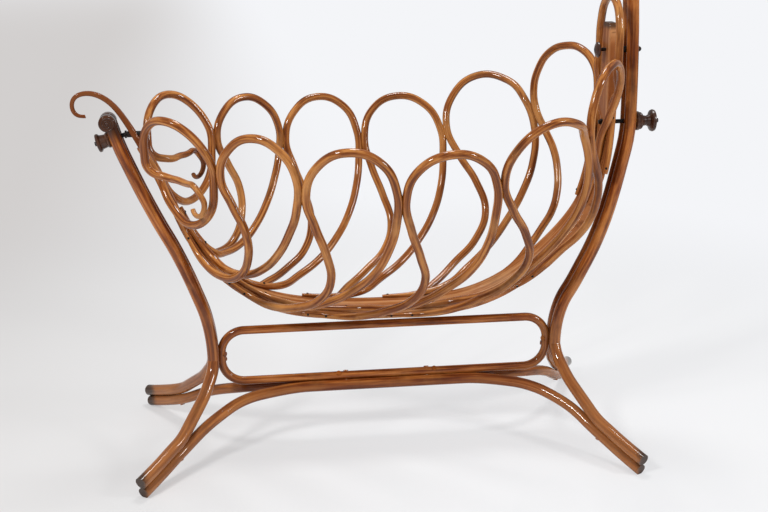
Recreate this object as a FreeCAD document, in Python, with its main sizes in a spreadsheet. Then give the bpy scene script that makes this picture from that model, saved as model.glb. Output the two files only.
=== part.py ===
"""Bentwood swing cradle: a basket of looped rods hung on two pins in a stand of bent rods.

Millimetres. +X points to the head end, +Y to the back, +Z up. The floor is z = 0.
"""

import FreeCAD
import Part
import Sketcher
import math
import os
from FreeCAD import Placement, Rotation, Vector
from functools import lru_cache

# Driving dimensions: sheet alias, millimetres or degrees, meaning
SIZES = (
    ("pivot_height", 760, "floor to the swing axis"),
    ("stand_offset", 28.5, "middle of the stand from the middle of the whole, along X"),
    ("foot_end_reach", 576, "middle of the stand to the tips at the foot end, along X"),
    ("foot_end_spread", 262, "middle of the stand to the tips at the foot end, along Y"),
    ("head_end_reach", 542, "middle of the stand to the tips at the head end, along X"),
    ("head_end_spread", 306, "middle of the stand to the tips at the head end, along Y"),
    ("foot_lift", 11.5, "floor to the centre of an arch rod at its tip"),
    ("foot_rise", 40, "how far an arch rod climbs along its foot"),
    ("waist_reach", 413, "middle of the stand to the posts where they are nearest"),
    ("waist_height", 222, "floor to the posts' waist"),
    ("post_rod", 28, "diameter of a post rod"),
    ("arch_rod", 26, "diameter of an arch rod"),
    ("ring_rod", 20, "diameter of the ring's rod"),
    ("ring_height", 127, "height of the ring between rod centres"),
    ("ring_corner", 54, "bend radius of the ring's corners"),
    ("seat_gap", 0.3, "gap between rods that lie against each other"),
    ("foot_stand_off", 42, "spine to post at the foot pivot, centre to centre"),
    ("head_stand_off", 55, "spine to post at the head pivot, centre to centre"),
    ("mast_height", 1950, "floor to the top of the mast"),
    ("mast_overhang", 480, "how far the mast's crook reaches over the basket"),
    ("mast_tip", 15, "diameter of a mast rod at its end"),
    ("volute_size", 38, "diameter of the scroll on a foot post"),
    ("volute_up", 30, "swing axis to the end of a foot post"),
    ("volute_round", 5, "rounding of the scroll's rims"),
    ("basket_reach", 518, "middle of the stand to the head board at the axis"),
    ("basket_depth", 434, "swing axis to the centre of the spine at its lowest"),
    ("basket_half_width", 372, "middle of the basket to the widest loop top"),
    ("spine_width", 110, "width of the spine board in the bottom"),
    ("spine_thickness", 18, "thickness of the spine board"),
    ("head_width", 66, "width of the head board"),
    ("hook_width", 20, "width of the spine where it becomes the hook"),
    ("hook_tip", 8, "diameter of the hook's end"),
    ("spine_round", 3.6, "rounding of the spine's long edges"),
    ("loop_rod", 16, "diameter of a loop rod"),
    ("tendril_tip", 8, "diameter of a tendril at its end"),
    ("pivot_pin", 10, "diameter of a pivot pin"),
    ("pin_play", 0.05, "radial play of a pin that turns or slides"),
    ("fit_gap", 0.1, "radial gap round a piece that is fixed in a hole"),
    ("bush_wall", 1.9, "wall of a pivot bush"),
    ("bush_flange", 2.5, "thickness of a bush's flange"),
    ("bush_rim", 4, "how far a bush's flange stands out round its wall"),
    ("foot_pin_tilt", 17, "tilt of the foot pin's shank, degrees"),
    ("foot_bush_length", 30, "length of the foot bush"),
    ("head_bush_length", 26, "length of the head bush"),
    ("pin_gap", 1, "bush to the pin's collar"),
    ("pin_proud", 4, "how far a pivot pin stands out of its bush or knob"),
    ("collar_size", 17, "diameter of a pivot pin's collar"),
    ("collar_thickness", 4, "thickness of a pivot pin's collar"),
    ("foot_knob_length", 30, "length of the foot knob"),
    ("foot_knob_size", 42, "largest diameter of the foot knob"),
    ("head_knob_length", 54, "length of the head knob"),
    ("head_knob_size", 52, "largest diameter of the head knob"),
    ("lock_height", 168, "swing axis to the lock pin"),
    ("lock_pin_size", 8, "diameter of the lock pin"),
    ("lock_travel", 14, "travel of the lock pin"),
    ("lock_bite", 9, "length of the pin inside the keeper when locked"),
    ("keeper_bore", 24, "depth of the keeper's bore"),
    ("acorn_length", 11, "length of the keeper's acorn end"),
    ("lock_knob_size", 36, "diameter of the lock knob"),
    ("lock_knob_length", 11, "thickness of the lock knob"),
    ("lock_rest", 1, "clear distance left at each end of the lock pin's travel"),
    ("keeper_wall", 3, "wall of the lock keeper"),
    ("keeper_gap", 4, "head board to the keeper"),
    ("acorn_size", 12, "diameter of the keeper's acorn end"),
    ("screw_size", 6, "shank diameter of a frame screw"),
    ("screw_head", 12, "head diameter of a frame screw"),
    ("screw_head_height", 3, "head height of a frame screw"),
    ("screw_sink", 1.5, "how deep a frame screw's head is let in"),
    ("overrun", 5, "how far a cutting tool passes a face"),
)

# Spine centre line, hook tip to head: share of basket_reach along X, of basket_depth above the axis
SPINE_SHARES = (
    (-1.294, 0.097), (-1.330, 0.106), (-1.347, 0.150), (-1.326, 0.200), (-1.284, 0.214),
    (-1.227, 0.197), (-1.157, 0.122), (-1.095, 0.0), (-1.000, -0.222), (-0.934, -0.408),
    (-0.865, -0.590), (-0.772, -0.737), (-0.650, -0.855), (-0.500, -0.938), (-0.290, -0.985),
    (-0.030, -1.0), (0.228, -0.993), (0.410, -0.955), (0.590, -0.858), (0.724, -0.735),
    (0.848, -0.580), (0.935, -0.400), (0.985, -0.190), (1.0, 0.0), (1.004, 0.207), (1.0, 0.530),
)
HOOK_AXIS_SHARE = 1.095

# Spine sections, hook tip to head. The hook: share of the length, of the way from hook_tip to hook_width,
# and of the way from hook_tip to spine_thickness
HOOK_SHARES = ((0.0, 0.0, 0.0), (0.011, 0.08, 0.08), (0.022, 0.18, 0.14), (0.034, 0.30, 0.20), (0.046, 0.44, 0.26),
               (0.060, 0.60, 0.30), (0.085, 0.82, 0.38), (0.112, 1.0, 0.52), (0.165, 1.0, 0.80), (0.210, 1.0, 1.0))
# The foot: share of the length, share of the way from hook_width to spine_width
FOOT_SHARES = ((0.253, 0.044), (0.293, 0.133), (0.317, 0.270), (0.335, 0.450), (0.352, 0.690),
               (0.372, 0.880), (0.400, 0.975), (0.430, 1.0))
BED_SHARES = (0.50, 0.58, 0.66)
# The head: share of the length, share of the way from spine_width to head_width
HEAD_SHARES = ((0.710, 0.06), (0.755, 0.24), (0.800, 0.50), (0.850, 0.80), (0.900, 1.0), (0.945, 1.0))
# The rounded top: share of the length, share of head_width
CROWN_SHARES = ((0.972, 0.97), (0.988, 0.82), (1.0, 0.54))

# Post above the waist: share of the way out to the pivot, share of the way up to the axis
FOOT_POST_SHARES = ((0.058, 0.182), (0.186, 0.321), (0.366, 0.480), (0.581, 0.636), (0.799, 0.811))
HEAD_POST_SHARES = ((0.095, 0.175), (0.300, 0.290), (0.590, 0.472), (0.875, 0.766))
# Mast above the axis: share of mast_overhang inwards, share of the way from the axis to the top
MAST_SHARES = ((0.011, 0.179), (0.019, 0.235))
CROOK_SHARES = ((0.057, 0.412), (0.138, 0.605), (0.290, 0.790), (0.503, 0.930), (0.726, 0.988),
                (0.909, 0.950), (1.0, 0.874), (0.955, 0.815))
# Leg below the waist: share of the way out and forwards to the foot, share of waist_height
LEG_SHARES = ((0.006, 0.020, 0.940), (0.112, 0.165, 0.730), (0.300, 0.375, 0.540))
# Where the leg lies on the arch: share of the way out and forwards to the foot, share of foot_rise
FOOT_RUN_SHARES = ((0.520, 0.600, 1.0), (0.780, 0.815, 0.42), (1.0, 1.0, 0.0))
# Arch: share of waist_reach, share of the way forwards to the foot, share of the way up to the ring
ARCH_SHARES = ((1.005, 0.310, 0.560), (0.830, 0.109, 0.840), (0.640, 0.028, 0.950), (0.450, 0.0, 1.0))

# Where neighbouring loops touch: shares of basket_reach, of basket_half_width, of basket_depth above the axis
CONTACT_SHARES = {
    "12": (-0.752, 0.540, -0.145), "23": (-0.423, 0.815, -0.192), "34": (-0.031, 0.900, -0.224),
    "45": (0.376, 0.855, -0.168), "56": (0.790, 0.630, -0.045), "6head": (1.004, 0.215, 0.230),
}
# Tops of the loops, in the same shares
TOP_SHARES = {
    2: (-0.614, 0.705, 0.078), 3: (-0.236, 0.945, 0.039), 4: (0.158, 1.0, 0.025),
    5: (0.597, 0.925, 0.148), 6: (0.920, 0.447, 0.362),
}
# Where each loop stands on the spine: share of the spine's length
BASE_SHARES = {2: 0.344, 3: 0.445, 4: 0.546, 5: 0.660, 6: 0.800}
LOOP_ENDS = {2: ("12", "23"), 3: ("23", "34"), 4: ("34", "45"), 5: ("45", "56"), 6: ("56", "6head")}
# One loop from its inner end to its outer end: share of its width, of its height, and of a rod outwards
RISING_SHARES = ((0.00, 0.105, -1.1), (0.27, 0.22, -1.0), (0.42, 0.36, -0.6), (0.50, 0.53, -0.2))
FALLING_SHARES = ((-0.33, 0.53, 0.2), (-0.15, 0.39, 0.6), (-0.12, 0.31, 0.9), (-0.19, 0.20, 1.3),
                  (-0.36, 0.105, 1.6))
# How far each loop's outer leg stands towards the head: share of its width
LEAN_SHARES = {2: 0.10, 3: 0.0, 4: -0.02, 5: 0.09}
# Where a loop's ends lie along the spine: share of the loop's width from where it stands
INNER_END_SHARES = (-0.75, -0.55, -0.36)
OUTER_END_SHARES = (-0.62, -0.76, -0.90)
LONG_INNER_END_SHARES = (-1.05, -0.82, -0.58, -0.36)
LONG_OUTER_END_SHARES = (-0.62, -0.80, -0.96, -1.12)
# The loop beside the head board: shares of the spine's length under its ends, and points between in loop shares
HEAD_INNER_SHARES = (0.790, 0.820, 0.850)
HEAD_RISING_SHARES = ((0.972, 0.146, 0.060),)
HEAD_FALLING_SHARES = ((0.830, 0.520, -0.180), (0.882, 0.285, -0.350))
HEAD_OUTER_SHARES = (0.768, 0.745, 0.722)
TOUCH_SHARE = 0.70
BULGE_SHARE = 0.06
SECTION_CORNER_SHARE = 0.42
SLOPE_STEP_SHARE = 0.002
# Screws: share of ring_height from its middle, shares of waist_reach from the middle of the stand
RING_SCREW_SHARE = 0.06
ARCH_SCREW_SHARE = 0.26
ARCH_SCREW_STEP_SHARE = 0.022

# Foot loop: where its end lies on the spine, in shares of the spine's length
FOOT_LOOP_SEAT_SHARES = (0.129, 0.149, 0.168)
# Foot loop after that end, in the same shares as the loop tops, up to its touch with the next loop
FOOT_LOOP_RISE_SHARES = ((-0.946, 0.134, -0.357), (-0.867, 0.309, -0.422), (-0.782, 0.470, -0.323))
FOOT_LOOP_OVER_SHARES = ((-0.824, 0.546, 0.035), (-0.946, 0.484, 0.134), (-1.033, 0.323, 0.069),
                         (-1.048, 0.266, -0.023), (-1.019, 0.234, -0.159))
# Tendril that ends the foot loop, in the same shares
TENDRIL_SHARES = ((-0.965, 0.258, -0.180), (-0.896, 0.379, -0.184), (-0.830, 0.538, -0.207),
                  (-0.807, 0.556, -0.272), (-0.818, 0.546, -0.318), (-0.855, 0.465, -0.309))
# Head loop on each side of its top, in the same shares
HEAD_LOOP_SHARES = ((1.0, 0.115, 0.630), (1.0, 0.190, 0.500), (1.0, 0.192, 0.390))
HEAD_LOOP_TOP_SHARE = 0.665
HEAD_LOOP_NECK_SHARE = 1.004
HEAD_LOOP_SEAT_SHARES = (0.905, 0.885, 0.865, 0.845, 0.83)

# Turned profiles, base to tip: share of the length, share of the largest radius
FOOT_KNOB_SHARES = ((0.0, 0.80), (0.10, 0.86), (0.20, 0.80), (0.27, 0.70), (0.66, 0.78), (0.76, 0.97),
                    (0.86, 1.0), (0.95, 0.95), (1.0, 0.62))
HEAD_KNOB_SHARES = ((0.0, 0.72), (0.06, 0.86), (0.17, 0.86), (0.22, 0.74), (0.27, 0.78), (0.32, 0.72),
                    (0.40, 0.48), (0.54, 0.44), (0.66, 0.58), (0.74, 0.94), (0.81, 1.0), (0.88, 0.96),
                    (0.93, 0.56), (1.0, 0.36))
LOCK_KNOB_SHARES = ((0.0, 0.60), (0.12, 0.94), (0.30, 1.0), (0.55, 0.96), (0.80, 0.72), (1.0, 0.40))

FRONT = -1
BACK = 1
FOOT_END = -1
HEAD_END = 1
SIDE_NAMES = {FRONT: "front", BACK: "back"}

doc = FreeCAD.newDocument("cradle")
sheet = doc.addObject("Spreadsheet::Sheet", "Sizes")
for row, (alias, value, meaning) in enumerate(SIZES, start=1):
    sheet.set(f"A{row}", meaning)
    sheet.set(f"B{row}", str(value))
    sheet.setAlias(f"B{row}", alias)
doc.recompute()
nodes = {}


def size(alias):
    """A driving dimension, read from the sheet."""
    return float(getattr(sheet, alias))


POST_R = size("post_rod") / 2
ARCH_R = size("arch_rod") / 2
RING_R = size("ring_rod") / 2
LOOP_R = size("loop_rod") / 2
GAP = size("seat_gap")
AXIS_Z = size("pivot_height")
OVERRUN = size("overrun")
POST_Y = POST_R + GAP / 2
ARCH_Y = ARCH_R + GAP / 2
X_AXIS = Vector(1, 0, 0)
Y_AXIS = Vector(0, 1, 0)
Z_AXIS = Vector(0, 0, 1)


def at(x, y, z):
    """A point given from the middle of the stand."""
    return Vector(x + size("stand_offset"), y, z)


def blend(start, end, share):
    """The value that lies a share of the way from start to end."""
    return start + (end - start) * share


def nested(first_r, second_r, side_step):
    """Distance at which a rod lies in the valley between two others that are side_step off its middle."""
    return math.sqrt((first_r + second_r + GAP) ** 2 - side_step ** 2)


def unit(vector):
    """A copy of the vector with length one."""
    copy = Vector(vector)
    copy.normalize()
    return copy


def tangents_through(points, closed=False, fixed=None):
    """Unit tangents that make a smooth path through the points; fixed ones are kept by index."""
    fixed = fixed or {}
    count = len(points)
    found = []
    for i in range(count):
        if i in fixed:
            found.append(unit(fixed[i]))
            continue
        if not closed and i in (0, count - 1):
            found.append(None)
            continue
        before = points[i] - points[i - 1]
        after = points[(i + 1) % count] - points[i]
        found.append(unit(before / before.Length ** 2 + after / after.Length ** 2))
    if found[0] is None:
        found[0] = mirrored(points[1] - points[0], found[1])
    if found[-1] is None:
        found[-1] = mirrored(points[-1] - points[-2], found[-2])
    return found


def mirrored(chord, tangent):
    """The tangent at the other end of a circular arc over the chord."""
    return unit(chord * (2 * chord.dot(tangent) / chord.dot(chord)) - tangent)


def arc_edge(start, tangent, end):
    """The arc that leaves start along the tangent and reaches end."""
    chord = end - start
    across = chord - tangent * chord.dot(tangent)
    if across.Length < chord.Length * 1e-6:
        return Part.LineSegment(start, end).toShape()
    across.normalize()
    radius = chord.dot(chord) / (2 * chord.dot(across))
    centre = start + across * radius
    half_way = unit((start + end) * 0.5 - centre)
    if chord.dot(tangent) < 0:
        half_way = half_way * -1
    return Part.Arc(start, centre + half_way * radius, end).toShape()


def arc_pair(start, start_tangent, end, end_tangent):
    """Two arcs that join smoothly and meet both tangents."""
    chord = end - start
    both = start_tangent + end_tangent
    along = chord.dot(both)
    turn = 2 * (1 - start_tangent.dot(end_tangent))
    if turn < 1e-9:
        reach = chord.dot(chord) / (2 * along)
    else:
        reach = (math.sqrt(along ** 2 + turn * chord.dot(chord)) - along) / turn
    first_corner = start + start_tangent * reach
    second_corner = end - end_tangent * reach
    middle = (first_corner + second_corner) * 0.5
    return [
        arc_edge(start, start_tangent, middle),
        arc_edge(middle, unit(second_corner - first_corner), end),
    ]


def smooth_path(points, closed=False, fixed=None):
    """A wire of tangent arcs through the points, and the tangents there."""
    tangents = tangents_through(points, closed, fixed)
    edges = []
    spans = len(points) if closed else len(points) - 1
    for i in range(spans):
        j = (i + 1) % len(points)
        edges += arc_pair(points[i], tangents[i], points[j], tangents[j])
    return Part.Wire(edges), tangents


def keep(label, obj):
    """Give a finished sub-part its label."""
    obj.Label = label
    nodes[label] = obj
    return obj


def profile_circle(name, radius_expression, centre, direction):
    """A circle whose radius follows the sheet, square to a path."""
    circle = doc.addObject("Part::Circle", name + "_section")
    circle.setExpression("Radius", radius_expression)
    circle.Placement = Placement(centre, Rotation(Z_AXIS, direction))
    return circle


def swept_rod(name, wire, sections):
    """A rod swept along a wire, through one or more circles."""
    path = doc.addObject("Part::Feature", name + "_path")
    path.Shape = wire
    sweep = doc.addObject("Part::Sweep", name + "_rod")
    sweep.Spine = (path, [])
    sweep.Sections = sections
    sweep.Solid = True
    sweep.Frenet = False
    return sweep


def plain_rod(name, alias, points, closed=False, fixed=None):
    """A round rod of one diameter through the points."""
    wire, tangents = smooth_path(points, closed, fixed)
    circle = profile_circle(name, f"Sizes.{alias} / 2", points[0], tangents[0])
    return swept_rod(name, wire, [circle])


def thinning_rod(name, root_alias, tip_alias, points, plain_count, fixed=None):
    """A round rod that keeps its diameter over the first points and thins from there to its tip."""
    tangents = tangents_through(points, False, fixed)
    start = plain_count - 1
    kept = dict(enumerate(tangents))
    plain = plain_rod(name + "_plain", root_alias, points[:plain_count], fixed=kept)
    wire, _ = smooth_path(points[start:], fixed=dict(enumerate(tangents[start:])))
    root = profile_circle(name + "_root", f"Sizes.{root_alias} / 2", points[start], tangents[start])
    tip = profile_circle(name + "_tip", f"Sizes.{tip_alias} / 2", points[-1], tangents[-1])
    return joined(name, [plain, swept_rod(name + "_thin", wire, [root, tip])])


def cylinder(name, radius, height, base, direction):
    """A cylinder from its base centre along a direction; a height may be an expression or a length."""
    body = doc.addObject("Part::Cylinder", name)
    body.setExpression("Radius", radius)
    if isinstance(height, str):
        body.setExpression("Height", height)
    else:
        body.Height = height
    body.Placement = Placement(base, Rotation(Z_AXIS, direction))
    return body


def joined(name, pieces):
    """Several shapes made one."""
    fuse = doc.addObject("Part::MultiFuse", name)
    fuse.Shapes = pieces
    return fuse


def drilled(name, base, tools):
    """A shape with the tools cut out of it, one after the other."""
    for number, tool in enumerate(tools, start=1):
        cut = doc.addObject("Part::Cut", f"{name}_cut_{number}")
        cut.Base = base
        cut.Tool = tool
        base = cut
    return base


def grouped(name, pieces):
    """Separate solids that share one node."""
    group = doc.addObject("Part::Compound", name)
    group.Links = pieces
    return group


def turned_body(name, length_alias, size_alias, shares, bore_alias, base, direction):
    """A turned piece with a bore: its profile spun about the axis from base along direction."""
    body = doc.addObject("PartDesign::Body", name)
    plane = next(f for f in body.Origin.OriginFeatures if f.Role == "XZ_Plane")
    sketch = body.newObject("Sketcher::SketchObject", name + "_profile")
    sketch.AttachmentSupport = (plane, "")
    sketch.MapMode = "FlatFace"
    bore = f"Sizes.{bore_alias} / 2 + Sizes.fit_gap"
    bore_r = size(bore_alias) / 2 + size("fit_gap")
    corners = [(f"Sizes.{size_alias} / 2 * {r}", f"Sizes.{length_alias} * {z}") for z, r in shares]
    corners = [(bore, corners[0][1]), *corners, (bore, corners[-1][1])]
    spots = [Vector(size(size_alias) / 2 * r, size(length_alias) * z, 0) for z, r in shares]
    spots = [Vector(bore_r, spots[0].y, 0), *spots, Vector(bore_r, spots[-1].y, 0)]
    count = len(spots)
    for i in range(count):
        sketch.addGeometry(Part.LineSegment(spots[i], spots[(i + 1) % count]), False)
    for i in range(count):
        sketch.addConstraint(Sketcher.Constraint("Coincident", i, 2, (i + 1) % count, 1))
    for i, (radius, height) in enumerate(corners):
        number = sketch.addConstraint(Sketcher.Constraint("DistanceX", -1, 1, i, 1, spots[i].x))
        sketch.setExpression(f"Constraints[{number}]", radius)
        if spots[i].y == 0:
            sketch.addConstraint(Sketcher.Constraint("PointOnObject", i, 1, -1))
            continue
        number = sketch.addConstraint(Sketcher.Constraint("DistanceY", -1, 1, i, 1, spots[i].y))
        sketch.setExpression(f"Constraints[{number}]", height)
    spin = body.newObject("PartDesign::Revolution", name + "_turning")
    spin.Profile = sketch
    spin.ReferenceAxis = (sketch, ["V_Axis"])
    spin.Angle = 360
    body.Placement = Placement(base, Rotation(Z_AXIS, direction))
    return body


def rounded_outline(centre, across, up, width, height, corner):
    """A closed rectangle with rounded corners."""
    edges = []
    last_spot = None
    for number, (side_x, side_z) in enumerate(((1, -1), (1, 1), (-1, 1), (-1, -1))):
        middle = centre + across * (side_x * (width / 2 - corner)) + up * (side_z * (height / 2 - corner))
        ways = [up * side_z, across * side_x]
        if number % 2:
            ways.reverse()
        start = middle + ways[0] * corner
        end = middle + ways[1] * corner
        if last_spot:
            edges.append(Part.LineSegment(last_spot, start).toShape())
        edges.append(Part.Arc(start, middle + unit(ways[0] + ways[1]) * corner, end).toShape())
        last_spot = end
    edges.append(Part.LineSegment(last_spot, edges[0].valueAt(edges[0].FirstParameter)).toShape())
    return Part.Wire(edges)


def cross_screw(name, start, end, start_r):
    """A screw from the far side of one rod into the middle of the next, its hole and its head's pocket."""
    way = unit(end - start)
    seat = start - way * (start_r - size("screw_sink"))
    length = (end - seat).Length
    shank = cylinder(name + "_shank", "Sizes.screw_size / 2", length, seat, way)
    head = cylinder(name + "_head", "Sizes.screw_head / 2", "Sizes.screw_head_height", seat, way * -1)
    hole = cylinder(name + "_hole", "Sizes.screw_size / 2 + Sizes.fit_gap", length + GAP, seat, way)
    pocket = cylinder(name + "_pocket", "Sizes.screw_head / 2 + Sizes.fit_gap",
                      "Sizes.screw_head_height + Sizes.overrun", seat, way * -1)
    return joined(name, [shank, head]), hole, pocket


# The spine board: one bent board from the hook to the head


def spine_line():
    """The spine's centre line."""
    reach = size("basket_reach")
    depth = size("basket_depth")
    curve = Part.BSplineCurve()
    curve.interpolate([at(reach * x, 0, AXIS_Z + depth * z) for x, z in SPINE_SHARES])
    return curve.toShape()


SPINE_LINE = spine_line()
FOOT_PIVOT = at(-size("basket_reach") * HOOK_AXIS_SHARE, 0, AXIS_Z)
HEAD_PIVOT = at(size("basket_reach"), 0, AXIS_Z)
LOCK_Z = AXIS_Z + size("lock_height")


def station(share):
    """Centre, direction and inward normal of the spine at a share of its length."""
    spot = SPINE_LINE.getParameterByLength(SPINE_LINE.Length * share)
    along = unit(SPINE_LINE.tangentAt(spot))
    return SPINE_LINE.valueAt(spot), along, along.cross(Y_AXIS)


def spine_sections():
    """Length share, width and thickness of each section of the spine."""
    tip = size("hook_tip")
    hook = size("hook_width")
    bed = size("spine_width")
    head = size("head_width")
    full = size("spine_thickness")
    found = [(share, blend(tip, hook, wide), blend(tip, full, thick)) for share, wide, thick in HOOK_SHARES]
    found += [(share, blend(hook, bed, wide), full) for share, wide in FOOT_SHARES]
    found += [(share, bed, full) for share in BED_SHARES]
    found += [(share, blend(bed, head, wide), full) for share, wide in HEAD_SHARES]
    found += [(share, head * wide, full) for share, wide in CROWN_SHARES]
    return found


def spine_solid():
    """The board before any hole is drilled."""
    wires = []
    for number, (share, width, thickness) in enumerate(spine_sections()):
        centre, _, up = station(share)
        corner = min(size("spine_round"), thickness * SECTION_CORNER_SHARE)
        wire = doc.addObject("Part::Feature", f"spine_section_{number}")
        wire.Shape = rounded_outline(centre, Y_AXIS, up, width, thickness, corner)
        wires.append(wire)
    loft = doc.addObject("Part::Loft", "spine_blank")
    loft.Sections = wires
    loft.Solid = True
    loft.Ruled = False
    doc.recompute()
    return loft


spine_blank = spine_solid()
SPINE_SURFACES = [face.Surface for face in spine_blank.Shape.Faces]


def ray_length(centre, way):
    """How far the board reaches from a point inside it along a direction."""
    ray = Part.LineSegment(centre, centre + way * size("spine_width"))
    reaches = []
    for surface in SPINE_SURFACES:
        spots, _ = ray.intersectCS(surface)
        reaches += [(Vector(spot.X, spot.Y, spot.Z) - centre).Length for spot in spots]
    return min(reaches)


@lru_cache(maxsize=None)
def half_width(share):
    """Half the board's width at a share of its length."""
    return ray_length(station(share)[0], Y_AXIS)


def lane_slope(share):
    """How fast the board widens along its length."""
    near = half_width(share - SLOPE_STEP_SHARE)
    far = half_width(share + SLOPE_STEP_SHARE)
    return (far - near) / (2 * SLOPE_STEP_SHARE * SPINE_LINE.Length)


def spine_edge(share, side):
    """The middle of the board's edge."""
    return station(share)[0] + Y_AXIS * (side * half_width(share))


def edge_lane(share, side):
    """Where a loop rod lies against the board's edge, and its direction."""
    centre, along, _ = station(share)
    slope = lane_slope(share)
    out = half_width(share) + (LOOP_R + GAP) * math.sqrt(1 + slope ** 2)
    return centre + Y_AXIS * (side * out), unit(along + Y_AXIS * (side * slope))


def top_lane(share, side):
    """Where a loop rod lies on the board's inner face, and its direction."""
    centre, along, up = station(share)
    lift = ray_length(centre, up) + LOOP_R + GAP
    inset = half_width(share) - LOOP_R
    slope = lane_slope(share)
    if inset < LOOP_R + GAP / 2:
        inset = LOOP_R + GAP / 2
        slope = 0
    return centre + up * lift + Y_AXIS * (side * inset), unit(along + Y_AXIS * (side * slope))


board_at_lock = spine_blank.Shape.common(
    Part.makeLine(Vector(HEAD_PIVOT.x - size("spine_width"), 0, LOCK_Z),
                  Vector(HEAD_PIVOT.x + size("spine_width"), 0, LOCK_Z))).BoundBox
BUSH_OUTSIDE = "Sizes.pivot_pin / 2 + Sizes.pin_play + Sizes.bush_wall"
spine_holes = []
for name, pivot in (("foot", FOOT_PIVOT), ("head", HEAD_PIVOT)):
    reach = size("head_bush_length") + OVERRUN
    spine_holes.append(cylinder(f"{name}_bush_hole", BUSH_OUTSIDE + " + Sizes.fit_gap", 2 * reach,
                                pivot - X_AXIS * reach, X_AXIS))
spine_holes.append(cylinder("head_flange_seat", BUSH_OUTSIDE + " + Sizes.bush_rim + Sizes.fit_gap",
                            "Sizes.bush_flange + Sizes.overrun",
                            HEAD_PIVOT + X_AXIS * (size("spine_thickness") / 2), X_AXIS))
spine_holes.append(cylinder("lock_hole", "Sizes.lock_pin_size / 2 + Sizes.pin_play",
                            board_at_lock.XLength + 2 * OVERRUN,
                            Vector(board_at_lock.XMin - OVERRUN, 0, LOCK_Z), X_AXIS))
keep("spine_board", drilled("spine_board", spine_blank, spine_holes))


# Bushes that carry the basket on the pins


def bush(name, pivot, length_alias, flanged):
    """A sleeve let into the spine, with or without a flange on its outer side."""
    length = size(length_alias)
    pieces = [cylinder(name + "_sleeve", BUSH_OUTSIDE, f"Sizes.{length_alias}",
                       pivot - X_AXIS * (length / 2), X_AXIS)]
    if flanged:
        face = pivot.x + size("spine_thickness") / 2 + GAP
        pieces.append(cylinder(name + "_flange", BUSH_OUTSIDE + " + Sizes.bush_rim", "Sizes.bush_flange",
                               Vector(face, 0, AXIS_Z), X_AXIS))
    body = joined(name + "_body", pieces) if flanged else pieces[0]
    bore = cylinder(name + "_bore", "Sizes.pivot_pin / 2 + Sizes.pin_play", length + 2 * OVERRUN,
                    pivot - X_AXIS * (length / 2 + OVERRUN), X_AXIS)
    return keep(name, drilled(name, body, [bore]))


bush("foot_bush", FOOT_PIVOT, "foot_bush_length", False)
bush("head_bush", HEAD_PIVOT, "head_bush_length", True)


# The loops of the basket


def basket_point(shares, side):
    """A point of the basket from its shares."""
    x, y, z = shares
    return at(size("basket_reach") * x, side * size("basket_half_width") * y, AXIS_Z + size("basket_depth") * z)


def touch(name, side):
    """Where two loops touch, the way across to the next loop, and the rods' common way up."""
    names = list(CONTACT_SHARES)
    spot = basket_point(CONTACT_SHARES[name], side)
    number = names.index(name)
    tops = [basket_point(FOOT_LOOP_OVER_SHARES[1], side)]
    tops += [basket_point(shares, side) for shares in TOP_SHARES.values()]
    tops.append(basket_point(HEAD_LOOP_SHARES[1], side))
    if number + 1 == len(names):
        across = Y_AXIS * -side
    else:
        before = FOOT_LOOP_OVER_SHARES[3] if number == 0 else CONTACT_SHARES[names[number - 1]]
        after = basket_point(CONTACT_SHARES[names[number + 1]], side)
        across = unit(unit(spot - basket_point(before, side)) + unit(after - spot))
    up = (tops[number] + tops[number + 1]) * 0.5 - spot
    return spot, across, unit(up - across * up.dot(across))


def loop_path(number, side):
    """Points of one open loop from its inner end to its outer end, and the tangents that are fixed."""
    left, left_step, left_up = touch(LOOP_ENDS[number][0], side)
    right, right_step, right_up = touch(LOOP_ENDS[number][1], side)
    seat = LOOP_R + GAP / 2
    left = left + left_step * seat
    right = right - right_step * seat
    middle = (left + right) * 0.5
    width = (right - left).Length
    across = unit(right - left)
    base = BASE_SHARES[number]
    per_width = width / SPINE_LINE.Length
    rise = middle - spine_edge(base, side)
    outward = unit(across.cross(rise)) * -side

    def low(along_share, up_share, out_share):
        share = up_share / TOUCH_SHARE
        edge = spine_edge(base + along_share * per_width, side)
        spot = blend(edge, middle + across * (along_share * width), share)
        bulge = 4 * share * (1 - share) * BULGE_SHARE * rise.Length
        return spot + outward * (bulge + out_share * seat)

    if number == max(LOOP_ENDS):
        inner_ends = HEAD_INNER_SHARES
        outer_ends = HEAD_OUTER_SHARES
        rising = [basket_point(shares, side) for shares in HEAD_RISING_SHARES]
        falling = [basket_point(shares, side) for shares in HEAD_FALLING_SHARES]
    else:
        is_first = number == min(LOOP_ENDS)
        inner_ends = LONG_INNER_END_SHARES if is_first else INNER_END_SHARES
        outer_ends = LONG_OUTER_END_SHARES if is_first else OUTER_END_SHARES
        inner_ends = [base + share * per_width for share in inner_ends]
        outer_ends = [base + share * per_width for share in outer_ends]
        rising = [low(*shares) for shares in RISING_SHARES]
        falling = [low(along + LEAN_SHARES[number], up, out) for along, up, out in FALLING_SHARES]
    points = []
    fixed = {}
    for share in inner_ends:
        spot, fixed[len(points)] = top_lane(share, side)
        points.append(spot)
    points += rising
    fixed[len(points)] = right_up
    points.append(right)
    fixed[len(points)] = Vector(-across.x, -across.y, 0)
    points.append(basket_point(TOP_SHARES[number], side))
    fixed[len(points)] = left_up * -1
    points.append(left)
    points += falling
    for share in outer_ends:
        spot, along = edge_lane(share, side)
        fixed[len(points)] = along * -1
        points.append(spot)
    return points, fixed


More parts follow.
